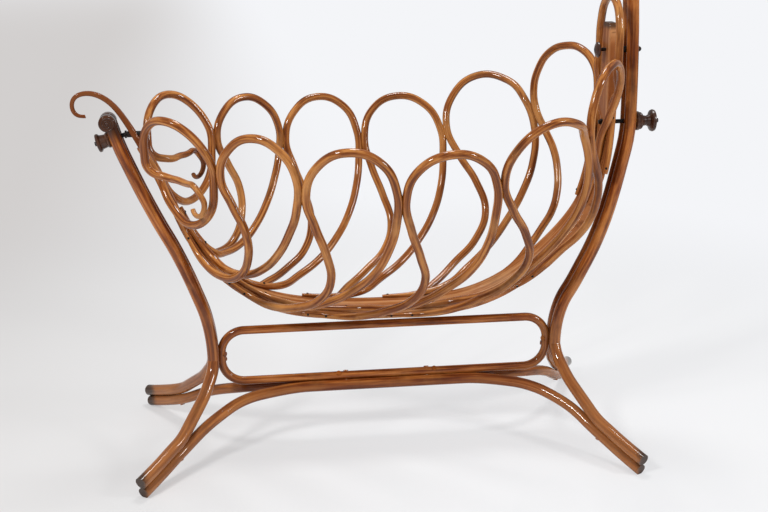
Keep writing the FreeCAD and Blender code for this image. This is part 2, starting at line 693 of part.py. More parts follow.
def foot_loop(side):
    """The loop at the foot end: seated on the spine, round and over, and out into a tendril."""
    points = []
    fixed = {}
    for share in FOOT_LOOP_SEAT_SHARES:
        spot, fixed[len(points)] = edge_lane(share, side)
        points.append(spot)
    points += [basket_point(shares, side) for shares in FOOT_LOOP_RISE_SHARES]
    spot, across, fixed[len(points)] = touch("12", side)
    points.append(spot - across * (LOOP_R + GAP / 2))
    points += [basket_point(shares, side) for shares in FOOT_LOOP_OVER_SHARES]
    plain_count = len(points)
    points += [basket_point(shares, side) for shares in TENDRIL_SHARES]
    return thinning_rod(f"loop_1_{SIDE_NAMES[side]}", "loop_rod", "tendril_tip", points, plain_count, fixed)


def head_loop():
    """The loop round the top of the head board."""
    points = []
    fixed = {}
    for share in reversed(HEAD_LOOP_SEAT_SHARES):
        spot, fixed[len(points)] = edge_lane(share, BACK)
        points.append(spot)
    spot, across, fixed[len(points)] = touch("6head", BACK)
    points.append(spot + across * (LOOP_R + GAP / 2))
    points += [basket_point(shares, BACK) for shares in reversed(HEAD_LOOP_SHARES)]
    top = at(size("basket_reach"), 0, AXIS_Z + size("basket_depth") * HEAD_LOOP_TOP_SHARE)
    last = 2 * len(points)
    for number, tangent in list(fixed.items()):
        fixed[last - number] = Vector(-tangent.x, tangent.y, -tangent.z)
    fixed[len(points)] = Y_AXIS * -1
    mirror = [Vector(spot.x, -spot.y, spot.z) for spot in reversed(points)]
    return plain_rod("head_loop", "loop_rod", [*points, top, *mirror], fixed=fixed)


for side in (FRONT, BACK):
    keep(f"loop_1_{SIDE_NAMES[side]}", foot_loop(side))
    for number in LOOP_ENDS:
        label = f"loop_{number}_{SIDE_NAMES[side]}"
        points, fixed = loop_path(number, side)
        keep(label, plain_rod(label, "loop_rod", points, fixed=fixed))
keep("head_loop", head_loop())


# The stand: two arches, a ring between two pairs of posts, and the mast

RING_HALF = size("waist_reach") - nested(POST_R, RING_R, POST_Y)
RING_LOW = size("waist_height") - size("ring_height") / 2
ARCH_TOP = RING_LOW - nested(RING_R, ARCH_R, ARCH_Y)
TILT = math.radians(size("foot_pin_tilt"))
FOOT_SHANK = Vector(-math.cos(TILT), 0, -math.sin(TILT))
FOOT_LEAN = Vector(-math.sin(TILT), 0, math.cos(TILT))
POST_X = {FOOT_END: -FOOT_PIVOT.x + size("stand_offset") + size("foot_stand_off"),
          HEAD_END: size("basket_reach") + size("head_stand_off")}


def foot_size(end, word):
    """The reach or spread of the feet at one end."""
    return size(f"{'foot' if end == FOOT_END else 'head'}_end_{word}")


def arch_path(side):
    """Points of an arch rod from the foot end's tip to the head end's tip, and the tangents that are fixed."""
    halves = []
    for end in (FOOT_END, HEAD_END):
        half = []
        for out, forwards, up in reversed(FOOT_RUN_SHARES):
            half.append(at(end * blend(size("waist_reach"), foot_size(end, "reach"), out),
                           side * blend(POST_Y, foot_size(end, "spread"), forwards),
                           size("foot_lift") + size("foot_rise") * up))
        for out, forwards, up in ARCH_SHARES:
            half.append(at(end * size("waist_reach") * out,
                           side * blend(ARCH_Y, foot_size(end, "spread"), forwards),
                           blend(size("foot_lift") + size("foot_rise"), ARCH_TOP, up)))
        halves.append(half)
    points = halves[0] + halves[1][::-1]
    return points, {len(halves[0]) - 1: X_AXIS, len(halves[0]): X_AXIS}


def leg_run(end, side):
    """Where a leg lies on its arch, from the tip inwards: its point, its direction and the arch's point."""
    points, fixed = arch_path(side)
    tangents = tangents_through(points, fixed=fixed)
    if end == HEAD_END:
        points.reverse()
        tangents = [tangent * -1 for tangent in reversed(tangents)]
    found = []
    for spot, tangent in list(zip(points, tangents))[:len(FOOT_RUN_SHARES)]:
        up = unit(Z_AXIS - tangent * tangent.z)
        found.append((spot + up * (POST_R + ARCH_R + GAP), tangent, spot))
    return found


def post_points(end, side, shares):
    """Points of a post from its foot to the swing axis, and the tangents that are fixed."""
    run = leg_run(end, side)
    points = [spot for spot, _, _ in run]
    fixed = {number: tangent for number, (_, tangent, _) in enumerate(run)}
    waist = size("waist_reach")
    for out, forwards, up in reversed(LEG_SHARES):
        points.append(at(end * blend(waist, foot_size(end, "reach"), out),
                         side * blend(POST_Y, foot_size(end, "spread"), forwards),
                         size("waist_height") * up))
    fixed[len(points)] = Z_AXIS
    points.append(at(end * waist, side * POST_Y, size("waist_height")))
    for out, up in shares:
        points.append(at(end * blend(waist, POST_X[end], out), side * POST_Y,
                         blend(size("waist_height"), AXIS_Z, up)))
    fixed[len(points)] = FOOT_LEAN if end == FOOT_END else Z_AXIS
    points.append(at(end * POST_X[end], side * POST_Y, AXIS_Z))
    return points, fixed


def scroll(name, post_end):
    """The rounded scroll that ends a foot post."""
    centre = post_end + FOOT_SHANK * (size("volute_size") / 2 - POST_R)
    disc = cylinder(name + "_disc", "Sizes.volute_size / 2", "Sizes.post_rod",
                    centre - Y_AXIS * POST_R, Y_AXIS)
    doc.recompute()
    rims = [i + 1 for i, edge in enumerate(disc.Shape.Edges) if edge.Closed and len(edge.Vertexes) == 1]
    rounded = doc.addObject("Part::Fillet", name + "_rounded")
    rounded.Base = disc
    rounded.Edges = [(rim, size("volute_round"), size("volute_round")) for rim in rims]
    return rounded


foot_screw_pieces = []
foot_screw_cuts = {}
for end in (FOOT_END, HEAD_END):
    for side in (FRONT, BACK):
        leg, _, rest = leg_run(end, side)[-1]
        name = f"foot_screw_{len(foot_screw_pieces)}"
        screw, hole, pocket = cross_screw(name, rest, leg, ARCH_R)
        foot_screw_pieces.append(screw)
        foot_screw_cuts[end, side] = (hole, pocket)

ring_screw_pieces = []
ring_holes = []
ring_screw_cuts = {}
for end in (FOOT_END, HEAD_END):
    for side in (FRONT, BACK):
        height = size("waist_height") + side * size("ring_height") * RING_SCREW_SHARE
        name = f"ring_screw_{len(ring_screw_pieces)}"
        screw, hole, pocket = cross_screw(name, at(end * RING_HALF, 0, height),
                                          at(end * size("waist_reach"), side * POST_Y, height), RING_R)
        ring_screw_pieces.append(screw)
        ring_holes += [hole, pocket]
        ring_screw_cuts[end, side] = hole

arch_screw_pieces = []
arch_screw_cuts = {FRONT: [], BACK: []}
for end in (FOOT_END, HEAD_END):
    for side in (FRONT, BACK):
        place = end * size("waist_reach") * (ARCH_SCREW_SHARE + side * ARCH_SCREW_STEP_SHARE)
        name = f"arch_screw_{len(arch_screw_pieces)}"
        screw, hole, pocket = cross_screw(name, at(place, 0, RING_LOW), at(place, side * ARCH_Y, ARCH_TOP), RING_R)
        arch_screw_pieces.append(screw)
        ring_holes += [hole, pocket]
        arch_screw_cuts[side].append(hole)

# Foot pin: a level journal, then a shank square to the leaning posts
bush_end = FOOT_PIVOT - X_AXIS * (size("foot_bush_length") / 2)
crank = bush_end - X_AXIS * (size("pin_gap") + size("collar_thickness") / 2)
post_axis = at(-POST_X[FOOT_END], 0, AXIS_Z)
shank_run = (post_axis - crank).dot(FOOT_SHANK)
foot_knob_base = crank + FOOT_SHANK * (shank_run + POST_R + GAP)
shank_length = shank_run + POST_R + GAP + size("foot_knob_length") + size("pin_proud")
shank_hole = cylinder("foot_shank_hole", "Sizes.pivot_pin / 2 + Sizes.fit_gap", 2 * shank_length, crank, FOOT_SHANK)

# Mast centre at the lock
MAST_TOP = size("mast_height") - AXIS_Z


def mast_point(shares, side, step):
    """A point of the mast above the axis."""
    return at(POST_X[HEAD_END] - size("mast_overhang") * shares[0], side * step, AXIS_Z + MAST_TOP * shares[1])


head_points, head_fixed = post_points(HEAD_END, BACK, HEAD_POST_SHARES)
head_line, _ = smooth_path([*head_points, *[mast_point(s, BACK, POST_Y) for s in MAST_SHARES]], fixed=head_fixed)
lock_level = Part.makeLine(at(0, POST_Y, LOCK_Z), at(2 * POST_X[HEAD_END], POST_Y, LOCK_Z))
mast_x = head_line.distToShape(lock_level)[1][0][0].x
keeper_start = board_at_lock.XMax + size("keeper_gap")
keeper_length = mast_x + POST_R + GAP - keeper_start
KEEPER_OUTSIDE = "Sizes.lock_pin_size / 2 + Sizes.pin_play + Sizes.keeper_wall"
keeper_spot = Vector(keeper_start, 0, LOCK_Z)
keeper_hole = cylinder("keeper_hole", KEEPER_OUTSIDE + " + Sizes.fit_gap", keeper_length + 2 * OVERRUN,
                       keeper_spot, X_AXIS)
head_hole = cylinder("head_shank_hole", "Sizes.pivot_pin / 2 + Sizes.fit_gap", 2 * size("head_stand_off"),
                     HEAD_PIVOT, X_AXIS)

floor_size = 4 * size("foot_end_reach")
for side in (FRONT, BACK):
    word = SIDE_NAMES[side]
    points, fixed = post_points(FOOT_END, side, FOOT_POST_SHARES)
    post_end = points[-1] + FOOT_LEAN * (size("volute_up") / FOOT_LEAN.z)
    rod = plain_rod(f"foot_post_{word}_stem", "post_rod", [*points, post_end],
                    fixed={**fixed, len(points): FOOT_LEAN})
    body = joined(f"foot_post_{word}_whole", [rod, scroll(f"foot_post_{word}", post_end)])
    cuts = [shank_hole, ring_screw_cuts[FOOT_END, side], foot_screw_cuts[FOOT_END, side][0]]
    keep(f"foot_post_{word}", drilled(f"foot_post_{word}", body, cuts))

    points, fixed = post_points(HEAD_END, side, HEAD_POST_SHARES)
    points += [mast_point(shares, side, POST_Y) for shares in MAST_SHARES]
    plain_count = len(points)
    for number, shares in enumerate(CROOK_SHARES, start=1):
        step = blend(POST_R, size("mast_tip") / 2, number / len(CROOK_SHARES)) + GAP
        points.append(mast_point(shares, side, step))
    body = thinning_rod(f"head_post_{word}_whole", "post_rod", "mast_tip", points, plain_count, fixed)
    cuts = [head_hole, keeper_hole, ring_screw_cuts[HEAD_END, side], foot_screw_cuts[HEAD_END, side][0]]
    keep(f"head_post_{word}", drilled(f"head_post_{word}", body, cuts))

    points, fixed = arch_path(side)
    arch = plain_rod(f"arch_{word}_whole", "arch_rod", points, fixed=fixed)
    floor = doc.addObject("Part::Box", f"floor_{word}")
    floor.Length = floor_size
    floor.Width = floor_size
    floor.Height = 2 * size("arch_rod")
    floor.Placement.Base = Vector(-floor_size / 2, -floor_size / 2, -2 * size("arch_rod"))
    cuts = [floor, *arch_screw_cuts[side]]
    for end in (FOOT_END, HEAD_END):
        cuts += foot_screw_cuts[end, side]
    keep(f"arch_{word}", drilled(f"arch_{word}", arch, cuts))

ring_wire = rounded_outline(at(0, 0, size("waist_height")), X_AXIS, Z_AXIS, 2 * RING_HALF,
                            size("ring_height"), size("ring_corner"))
ring_start = ring_wire.OrderedEdges[0]
ring_circle = profile_circle("ring", "Sizes.ring_rod / 2", ring_start.valueAt(ring_start.FirstParameter),
                             ring_start.tangentAt(ring_start.FirstParameter))
keep("ring", drilled("ring", swept_rod("ring", ring_wire, [ring_circle]), ring_holes))
keep("ring_end_screws", grouped("ring_end_screws", ring_screw_pieces))
keep("arch_screws", grouped("arch_screws", arch_screw_pieces))
keep("foot_screws", grouped("foot_screws", foot_screw_pieces))


# Pins, knobs and the swing lock

PIN = "Sizes.pivot_pin / 2"
journal_start = FOOT_PIVOT + X_AXIS * (size("foot_bush_length") / 2 + size("pin_proud"))
keep("foot_pivot_bolt", joined("foot_pivot_bolt", [
    cylinder("foot_pin_journal", PIN, (journal_start - crank).Length, journal_start, X_AXIS * -1),
    cylinder("foot_pin_collar", "Sizes.collar_size / 2", "Sizes.collar_thickness",
             crank + X_AXIS * (size("collar_thickness") / 2), X_AXIS * -1),
    cylinder("foot_pin_shank", PIN, shank_length, crank, FOOT_SHANK),
]))
keep("foot_pivot_knob", turned_body("foot_pivot_knob", "foot_knob_length", "foot_knob_size", FOOT_KNOB_SHARES,
                                    "pivot_pin", foot_knob_base, FOOT_SHANK))

head_start = HEAD_PIVOT - X_AXIS * (size("head_bush_length") / 2 + size("pin_proud"))
head_seat = at(POST_X[HEAD_END] + POST_R + GAP, 0, AXIS_Z)
head_end = head_seat + X_AXIS * (size("head_knob_length") + size("pin_proud"))
head_collar = HEAD_PIVOT + X_AXIS * (size("head_bush_length") / 2 + size("pin_gap"))
keep("head_pivot_bolt", joined("head_pivot_bolt", [
    cylinder("head_pin_shank", PIN, (head_end - head_start).Length, head_start, X_AXIS),
    cylinder("head_pin_collar", "Sizes.collar_size / 2", "Sizes.collar_thickness", head_collar, X_AXIS),
]))
keep("head_pivot_knob", turned_body("head_pivot_knob", "head_knob_length", "head_knob_size", HEAD_KNOB_SHARES,
                                    "pivot_pin", head_seat, X_AXIS))

acorn_seat = keeper_spot + X_AXIS * keeper_length
acorn = doc.addObject("Part::Sphere", "keeper_acorn")
acorn.setExpression("Radius", "Sizes.acorn_size / 2")
acorn.Placement.Base = acorn_seat + X_AXIS * (size("acorn_length") - size("acorn_size") / 2)
keeper_body = joined("keeper_body", [
    cylinder("keeper_sleeve", KEEPER_OUTSIDE, keeper_length, keeper_spot, X_AXIS),
    cylinder("keeper_flange", KEEPER_OUTSIDE + " + Sizes.bush_rim", "Sizes.bush_flange", acorn_seat, X_AXIS),
    acorn,
])
keeper_bore = cylinder("keeper_bore_tool", "Sizes.lock_pin_size / 2 + Sizes.pin_play",
                       "Sizes.keeper_bore + Sizes.overrun", keeper_spot - X_AXIS * OVERRUN, X_AXIS)
keep("lock_keeper", drilled("lock_keeper", keeper_body, [keeper_bore]))

knob_face = board_at_lock.XMin - size("lock_travel") - size("lock_rest")
pin_tip = Vector(board_at_lock.XMax - size("lock_rest"), 0, LOCK_Z)
pin_length = pin_tip.x - knob_face + size("lock_knob_length")
keep("lock_pin", cylinder("lock_pin", "Sizes.lock_pin_size / 2", pin_length, pin_tip, X_AXIS * -1))
keep("lock_knob", turned_body("lock_knob", "lock_knob_length", "lock_knob_size", LOCK_KNOB_SHARES,
                              "lock_pin_size", Vector(knob_face, 0, LOCK_Z), X_AXIS * -1))

doc.recompute()
for obj in doc.Objects:
    if "Invalid" in obj.State or "Error" in obj.State:
        raise RuntimeError(f"{obj.Label} did not compute: {obj.State}")
for label, obj in nodes.items():
    if obj.Shape.isNull() or not obj.Shape.isValid() or not obj.Shape.Solids:
        raise RuntimeError(f"{label} has no valid solid")
os.makedirs("parts", exist_ok=True)
for label, obj in nodes.items():
    obj.Shape.exportStep(f"parts/{label}.step")
print(f"{len(nodes)} nodes written")
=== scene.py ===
"""Looks of a bentwood swing cradle: stained beech rods, a bent spine board, turned knobs and black iron."""

import logging
import math
from bisect import bisect_right
from collections.abc import Sequence
from dataclasses import dataclass
from enum import Enum

import bpy
from mathutils import Matrix, Vector
from mathutils.geometry import interpolate_bezier


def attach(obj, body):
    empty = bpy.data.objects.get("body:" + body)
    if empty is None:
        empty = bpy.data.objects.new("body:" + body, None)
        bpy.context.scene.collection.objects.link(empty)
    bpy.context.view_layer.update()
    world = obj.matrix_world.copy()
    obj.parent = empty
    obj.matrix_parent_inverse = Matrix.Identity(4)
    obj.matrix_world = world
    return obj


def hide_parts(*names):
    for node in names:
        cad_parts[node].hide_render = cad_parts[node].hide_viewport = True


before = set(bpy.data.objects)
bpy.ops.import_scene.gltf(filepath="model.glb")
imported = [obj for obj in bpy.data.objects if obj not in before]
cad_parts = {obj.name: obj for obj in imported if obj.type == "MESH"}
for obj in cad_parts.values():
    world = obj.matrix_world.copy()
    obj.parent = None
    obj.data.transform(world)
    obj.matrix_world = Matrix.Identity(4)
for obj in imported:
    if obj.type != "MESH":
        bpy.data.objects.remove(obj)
bpy.context.view_layer.update()

log = logging.getLogger("cradle")

Socket = bpy.types.NodeSocket
Pair = tuple[float, float]
Triple = tuple[float, float, float]

ACROSS = Vector((0, 1, 0))
AXIS_X = 0
AXIS_Z = 2
WHITE = (1.0, 1.0, 1.0, 1.0)
SCREEN_STEPS = 255
DARK_END = 0.04045
DARK_SLOPE = 12.92
CURVE_OFFSET = 0.055
CURVE_POWER = 2.4


class Body(Enum):
    """The bodies of the cradle that new pieces ride on."""

    STAND = "stand"
    BASKET = "basket"


class Side(Enum):
    """The two long sides of the cradle, by the sign of Y."""

    FRONT = -1
    BACK = 1

    @property
    def word(self) -> str:
        """The side's name as the nodes carry it."""
        return self.name.lower()

    def place(self, spot: Triple | Vector) -> Vector:
        """A point or way given for the back, on this side."""
        return Vector((spot[0], spot[1] * self.value, spot[2]))


@dataclass(frozen=True)
class Shade:
    """A colour as it looks on a screen, in steps from 0 to 255."""

    red: int
    green: int
    blue: int

    def light(self) -> tuple[float, float, float, float]:
        """The colour in scene light, fully opaque."""
        red, green, blue = (self.channel(step) for step in (self.red, self.green, self.blue))
        return red, green, blue, 1.0

    @staticmethod
    def channel(step: int) -> float:
        """One channel in scene light."""
        share = step / SCREEN_STEPS
        if share <= DARK_END:
            return share / DARK_SLOPE
        return ((share + CURVE_OFFSET) / (1 + CURVE_OFFSET)) ** CURVE_POWER


@dataclass(frozen=True)
class Mottle:
    """A noise, and the part of its range that is carried to 0 and 1."""

    scale: float
    layers: float
    rough: float
    span: Pair


class NodeSheet:
    """One node tree, with short ways to add nodes and wire them."""

    first_colour = 6
    second_colour = 7
    mixed_colour = 2
    spare_mark = 0.5

    def __init__(self, tree: bpy.types.NodeTree) -> None:
        """Starts from an empty tree.

        Args:
            tree: The node tree of a material, a world or a group.
        """
        self.tree = tree
        tree.nodes.clear()

    def add(self, kind: str, **settings: object) -> bpy.types.Node:
        """Adds a node.

        Args:
            kind: The node's type name.
            settings: Properties to set on it.

        Returns:
            The new node.
        """
        node = self.tree.nodes.new(kind)
        for name, value in settings.items():
            setattr(node, name, value)
        return node

    def feed(self, target: Socket, source: object) -> None:
        """Wires a socket into the target, or sets the target to a plain value."""
        if isinstance(source, bpy.types.NodeSocket):
            self.tree.links.new(source, target)
        else:
            target.default_value = source

    def reckon(self, operation: str, *values: object, clamp: bool = True) -> Socket:
        """One math step.

        Args:
            operation: The Math node's operation.
            values: Sockets or numbers.
            clamp: Whether the result is held between 0 and 1.

        Returns:
            The result's socket.
        """
        node = self.add("ShaderNodeMath", operation=operation, use_clamp=clamp)
        for socket, value in zip(node.inputs, values):
            self.feed(socket, value)
        return node.outputs[0]

    def scaled(self, vector: Socket, scale: Triple) -> Socket:
        """A vector stretched by its own factor on each axis."""
        node = self.add("ShaderNodeVectorMath", operation="MULTIPLY")
        self.feed(node.inputs[0], vector)
        node.inputs[1].default_value = scale
        return node.outputs[0]

    def added(self, first: Socket, second: Socket) -> Socket:
        """Two vectors added."""
        node = self.add("ShaderNodeVectorMath", operation="ADD")
        self.feed(node.inputs[0], first)
        self.feed(node.inputs[1], second)
        return node.outputs[0]

    def axis(self, vector: Socket, number: int) -> Socket:
        """One axis of a vector, by its number."""
        node = self.add("ShaderNodeSeparateXYZ")
        self.feed(node.inputs[0], vector)
        return node.outputs[number]

    def noise(self, vector: Socket, scale: float, layers: float, rough: float = 0.5) -> Socket:
        """A noise value.

        Args:
            vector: Where the noise is read.
            scale: Its scale.
            layers: Its number of finer layers.
            rough: How strong those layers are.

        Returns:
            The socket of a value around 0.5.
        """
        node = self.add("ShaderNodeTexNoise")
        self.feed(node.inputs["Vector"], vector)
        node.inputs["Scale"].default_value = scale
        node.inputs["Detail"].default_value = layers
        node.inputs["Roughness"].default_value = rough
        return node.outputs[0]

    def spread(self, value: Socket, old: Pair, new: Pair = (0, 1)) -> Socket:
        """A value carried smoothly from one range to another, and held inside it.

        Args:
            value: The value's socket.
            old: The range it is read in.
            new: The range it is carried to.

        Returns:
            The carried value's socket.
        """
        node = self.add("ShaderNodeMapRange", interpolation_type="SMOOTHSTEP", clamp=True)
        for socket, source in zip(node.inputs, (value, *old, *new)):
            self.feed(socket, source)
        return node.outputs[0]

    def mottled(self, vector: Socket, mottle: Mottle) -> Socket:
        """A noise read at a vector and spread over 0 to 1."""
        return self.spread(self.noise(vector, mottle.scale, mottle.layers, mottle.rough), mottle.span)

    def mixed(self, share: object, first: object, second: object) -> Socket:
        """A colour between two.

        Args:
            share: How much of the second shows, a socket or a number.
            first: A colour or its socket.
            second: A colour or its socket.

        Returns:
            The mixed colour's socket.
        """
        node = self.add("ShaderNodeMix", data_type="RGBA")
        self.feed(node.inputs[0], share)
        self.feed(node.inputs[self.first_colour], first)
        self.feed(node.inputs[self.second_colour], second)
        return node.outputs[self.mixed_colour]

    def stained(self, colour: object, shade: Shade, *shares: object) -> Socket:
        """A colour under a stain.

        Args:
            colour: The colour, or its socket.
            shade: The stain.
            shares: How strongly it shows: two sockets or numbers, multiplied.

        Returns:
            The stained colour's socket.
        """
        return self.mixed(self.reckon("MULTIPLY", *shares), colour, shade.light())

    def ramp(self, value: Socket, stops: list[tuple[float, Shade]]) -> Socket:
        """Colours along a value.

        Args:
            value: The value's socket.
            stops: Places along it, with their colours.

        Returns:
            The colour's socket.
        """
        node = self.add("ShaderNodeValToRGB")
        marks = node.color_ramp.elements
        while len(marks) < len(stops):
            marks.new(self.spare_mark)
        for mark, (place, shade) in zip(marks, stops):
            mark.position = place
            mark.color = shade.light()
        self.feed(node.inputs[0], value)
        return node.outputs[0]


class Effect:
    """A surface effect that several finishes share, kept as one node group."""

    name = ""
    inputs: tuple[tuple[str, str], ...] = ()
    outputs: tuple[str, ...] = ()

    def wire(self, sheet: NodeSheet, source: bpy.types.Node) -> dict[str, Socket]:
        """Builds the inside of the group.

        Args:
            sheet: The group's own tree.
            source: The node that carries the group's inputs.

        Returns:
            The socket behind each output.
        """
        raise NotImplementedError

    def group(self) -> bpy.types.NodeTree:
        """The node group, built the first time it is asked for."""
        if self.name in bpy.data.node_groups:
            return bpy.data.node_groups[self.name]
        tree = bpy.data.node_groups.new(self.name, "ShaderNodeTree")
        for word, kind in self.inputs:
            tree.interface.new_socket(name=word, in_out="INPUT", socket_type=kind)
        for word in self.outputs:
            tree.interface.new_socket(name=word, in_out="OUTPUT", socket_type="NodeSocketFloat")
        sheet = NodeSheet(tree)
        source = sheet.add("NodeGroupInput")
        found = self.wire(sheet, source)
        target = sheet.add("NodeGroupOutput")
        for word, socket in found.items():
            sheet.feed(target.inputs[word], socket)
        return tree

    def use(self, sheet: NodeSheet, **values: object) -> bpy.types.Node:
        """Places the group in a material.

        Args:
            sheet: The material's tree.
            values: Sockets or numbers for the group's inputs.

        Returns:
            The group's node.
        """
        node = sheet.add("ShaderNodeGroup", node_tree=self.group())
        for word, value in values.items():
            sheet.feed(node.inputs[word], value)
        return node


class BeechGrain(Effect):
    """Grain of beech: broad streaks of tone, short dark flecks and the relief that both leave."""

    name = "beech_grain"
    inputs = (("Streaks", "NodeSocketVector"), ("Flecks", "NodeSocketVector"))
    outputs = ("Tone", "Fleck", "Relief")
    streak = Mottle(1.0, 3.0, 0.55, (0.30, 0.70))
    fleck = Mottle(1.0, 2.0, 0.6, (0.56, 0.70))
    tone_height = 0.5
    fleck_height = 0.4

    def wire(self, sheet: NodeSheet, source: bpy.types.Node) -> dict[str, Socket]:
        """Builds the inside of the group; see Effect."""
        tone = sheet.mottled(source.outputs["Streaks"], self.streak)
        fleck = sheet.mottled(source.outputs["Flecks"], self.fleck)
        raised = sheet.reckon("MULTIPLY", tone, self.tone_height)
        relief = sheet.reckon("SUBTRACT", raised, sheet.reckon("MULTIPLY", fleck, self.fleck_height))
        return {"Tone": tone, "Fleck": fleck, "Relief": sheet.reckon("ADD", relief, self.fleck_height)}


class Handling(Effect):
    """Years of use: worn patches, and grime in others."""

    name = "handling"
    inputs = (("Place", "NodeSocketVector"),)
    outputs = ("Worn", "Grime")
    worn = Mottle(7.0, 4.0, 0.6, (0.48, 0.72))
    grime = Mottle(11.0, 5.0, 0.62, (0.52, 0.74))
    grime_turn = (-1, 1, -1)

    def wire(self, sheet: NodeSheet, source: bpy.types.Node) -> dict[str, Socket]:
        """Builds the inside of the group; see Effect."""
        place = source.outputs["Place"]
        grimy = sheet.scaled(place, self.grime_turn)
        return {"Worn": sheet.mottled(place, self.worn), "Grime": sheet.mottled(grimy, self.grime)}


GRAIN = BeechGrain()
HANDLING = Handling()


@dataclass(frozen=True)
class Surface:
    """What a finish has worked out before it meets the shader."""

    colour: Socket
    rough: Socket
    relief: Socket


@dataclass(frozen=True)
class Finish:
    """A finish: what every material of the cradle has in common."""

    name: str
    metal: float = 0.0
    gloss_level: float = 0.5
    coat: float = 0.0
    coat_rough: float = 0.2
    coat_index: float = 1.5
    relief_depth: float = 0.0002
    relief_strength: float = 0.6

    def surface(self, sheet: NodeSheet, place: Socket, facing: Socket) -> Surface:
        """Works out the surface.

        Args:
            sheet: The material's tree.
            place: Object coordinates.
            facing: The way the surface faces, in the piece's own axes.

        Returns:
            Colour, roughness and relief.
        """
        raise NotImplementedError

    def material(self) -> bpy.types.Material:
        """The finished material, made the first time it is asked for."""
        if self.name in bpy.data.materials:
            return bpy.data.materials[self.name]
        material = bpy.data.materials.new(self.name)
        material.use_nodes = True
        sheet = NodeSheet(material.node_tree)
        where = sheet.add("ShaderNodeTexCoord")
        made = self.surface(sheet, where.outputs["Object"], where.outputs["Normal"])
        bump = sheet.add("ShaderNodeBump")
        bump.inputs["Strength"].default_value = self.relief_strength
        bump.inputs["Distance"].default_value = self.relief_depth
        sheet.feed(bump.inputs["Height"], made.relief)
        shader = sheet.add("ShaderNodeBsdfPrincipled")
        shader.inputs["Metallic"].default_value = self.metal
        shader.inputs["Specular IOR Level"].default_value = self.gloss_level
        shader.inputs["Coat Weight"].default_value = self.coat
        shader.inputs["Coat Roughness"].default_value = self.coat_rough
        shader.inputs["Coat IOR"].default_value = self.coat_index
        sheet.feed(shader.inputs["Base Color"], made.colour)
        sheet.feed(shader.inputs["Roughness"], made.rough)
        sheet.feed(shader.inputs["Normal"], bump.outputs[0])
        output = sheet.add("ShaderNodeOutputMaterial")
        sheet.feed(output.inputs["Surface"], shader.outputs[0])
        return material

    def dress(self, piece: bpy.types.Object) -> None:
        """Gives a piece this finish alone."""
        piece.data.materials.clear()
        piece.data.materials.append(self.material())


@dataclass(frozen=True)
class BeechFinish(Finish):
    """Stained and varnished bent beech; grain runs along the rod, because it follows the way it faces."""

    dark: Shade = Shade(98, 46, 12)
    middle: Shade = Shade(148, 84, 34)
    light: Shade = Shade(192, 128, 66)
    fleck: Shade = Shade(82, 38, 12)
    worn: Shade = Shade(208, 150, 88)
    grime: Shade = Shade(70, 34, 12)
    tones: Triple = (0.0, 0.5, 1.0)
    fleck_share: float = 0.55
    worn_share: float = 0.45
    grime_share: float = 0.40
    streak_turns: float = 1.5
    streak_drift: float = 7.0
    fleck_turns: float = 9.0
    fleck_drift: float = 34.0
    polish: float = 0.28
    dull: float = 0.46
    gloss_level: float = 0.0
    coat: float = 1.0
    coat_rough: float = 0.08
    coat_index: float = 1.4

    def runs(self, sheet: NodeSheet, place: Socket, facing: Socket) -> tuple[Socket, Socket]:
        """Where the streaks and the flecks are read.

        Args:
            sheet: The material's tree.
            place: Object coordinates.
            facing: The way the surface faces.

        Returns:
            The vectors for the streaks and for the flecks.
        """
        found = []
        for turns, drift in ((self.streak_turns, self.streak_drift), (self.fleck_turns, self.fleck_drift)):
            found.append(sheet.added(sheet.scaled(facing, (turns,) * 3), sheet.scaled(place, (drift,) * 3)))
        return found[0], found[1]

    def local(self, sheet: NodeSheet, place: Socket, facing: Socket, made: Surface) -> Surface:
        """What only this finish has; plain beech has nothing more."""
        return made

    def surface(self, sheet: NodeSheet, place: Socket, facing: Socket) -> Surface:
        """Works out the surface; see Finish."""
        streaks, flecks = self.runs(sheet, place, facing)
        grain = GRAIN.use(sheet, Streaks=streaks, Flecks=flecks)
        use = HANDLING.use(sheet, Place=place)
        stops = list(zip(self.tones, (self.dark, self.middle, self.light)))
        colour = sheet.ramp(grain.outputs["Tone"], stops)
        colour = sheet.stained(colour, self.fleck, grain.outputs["Fleck"], self.fleck_share)
        colour = sheet.stained(colour, self.worn, use.outputs["Worn"], self.worn_share)
        colour = sheet.stained(colour, self.grime, use.outputs["Grime"], self.grime_share)
        rough = sheet.spread(use.outputs["Worn"], (0, 1), (self.polish, self.dull))
        made = Surface(colour, rough, grain.outputs["Relief"])
        return self.local(sheet, place, facing, made)


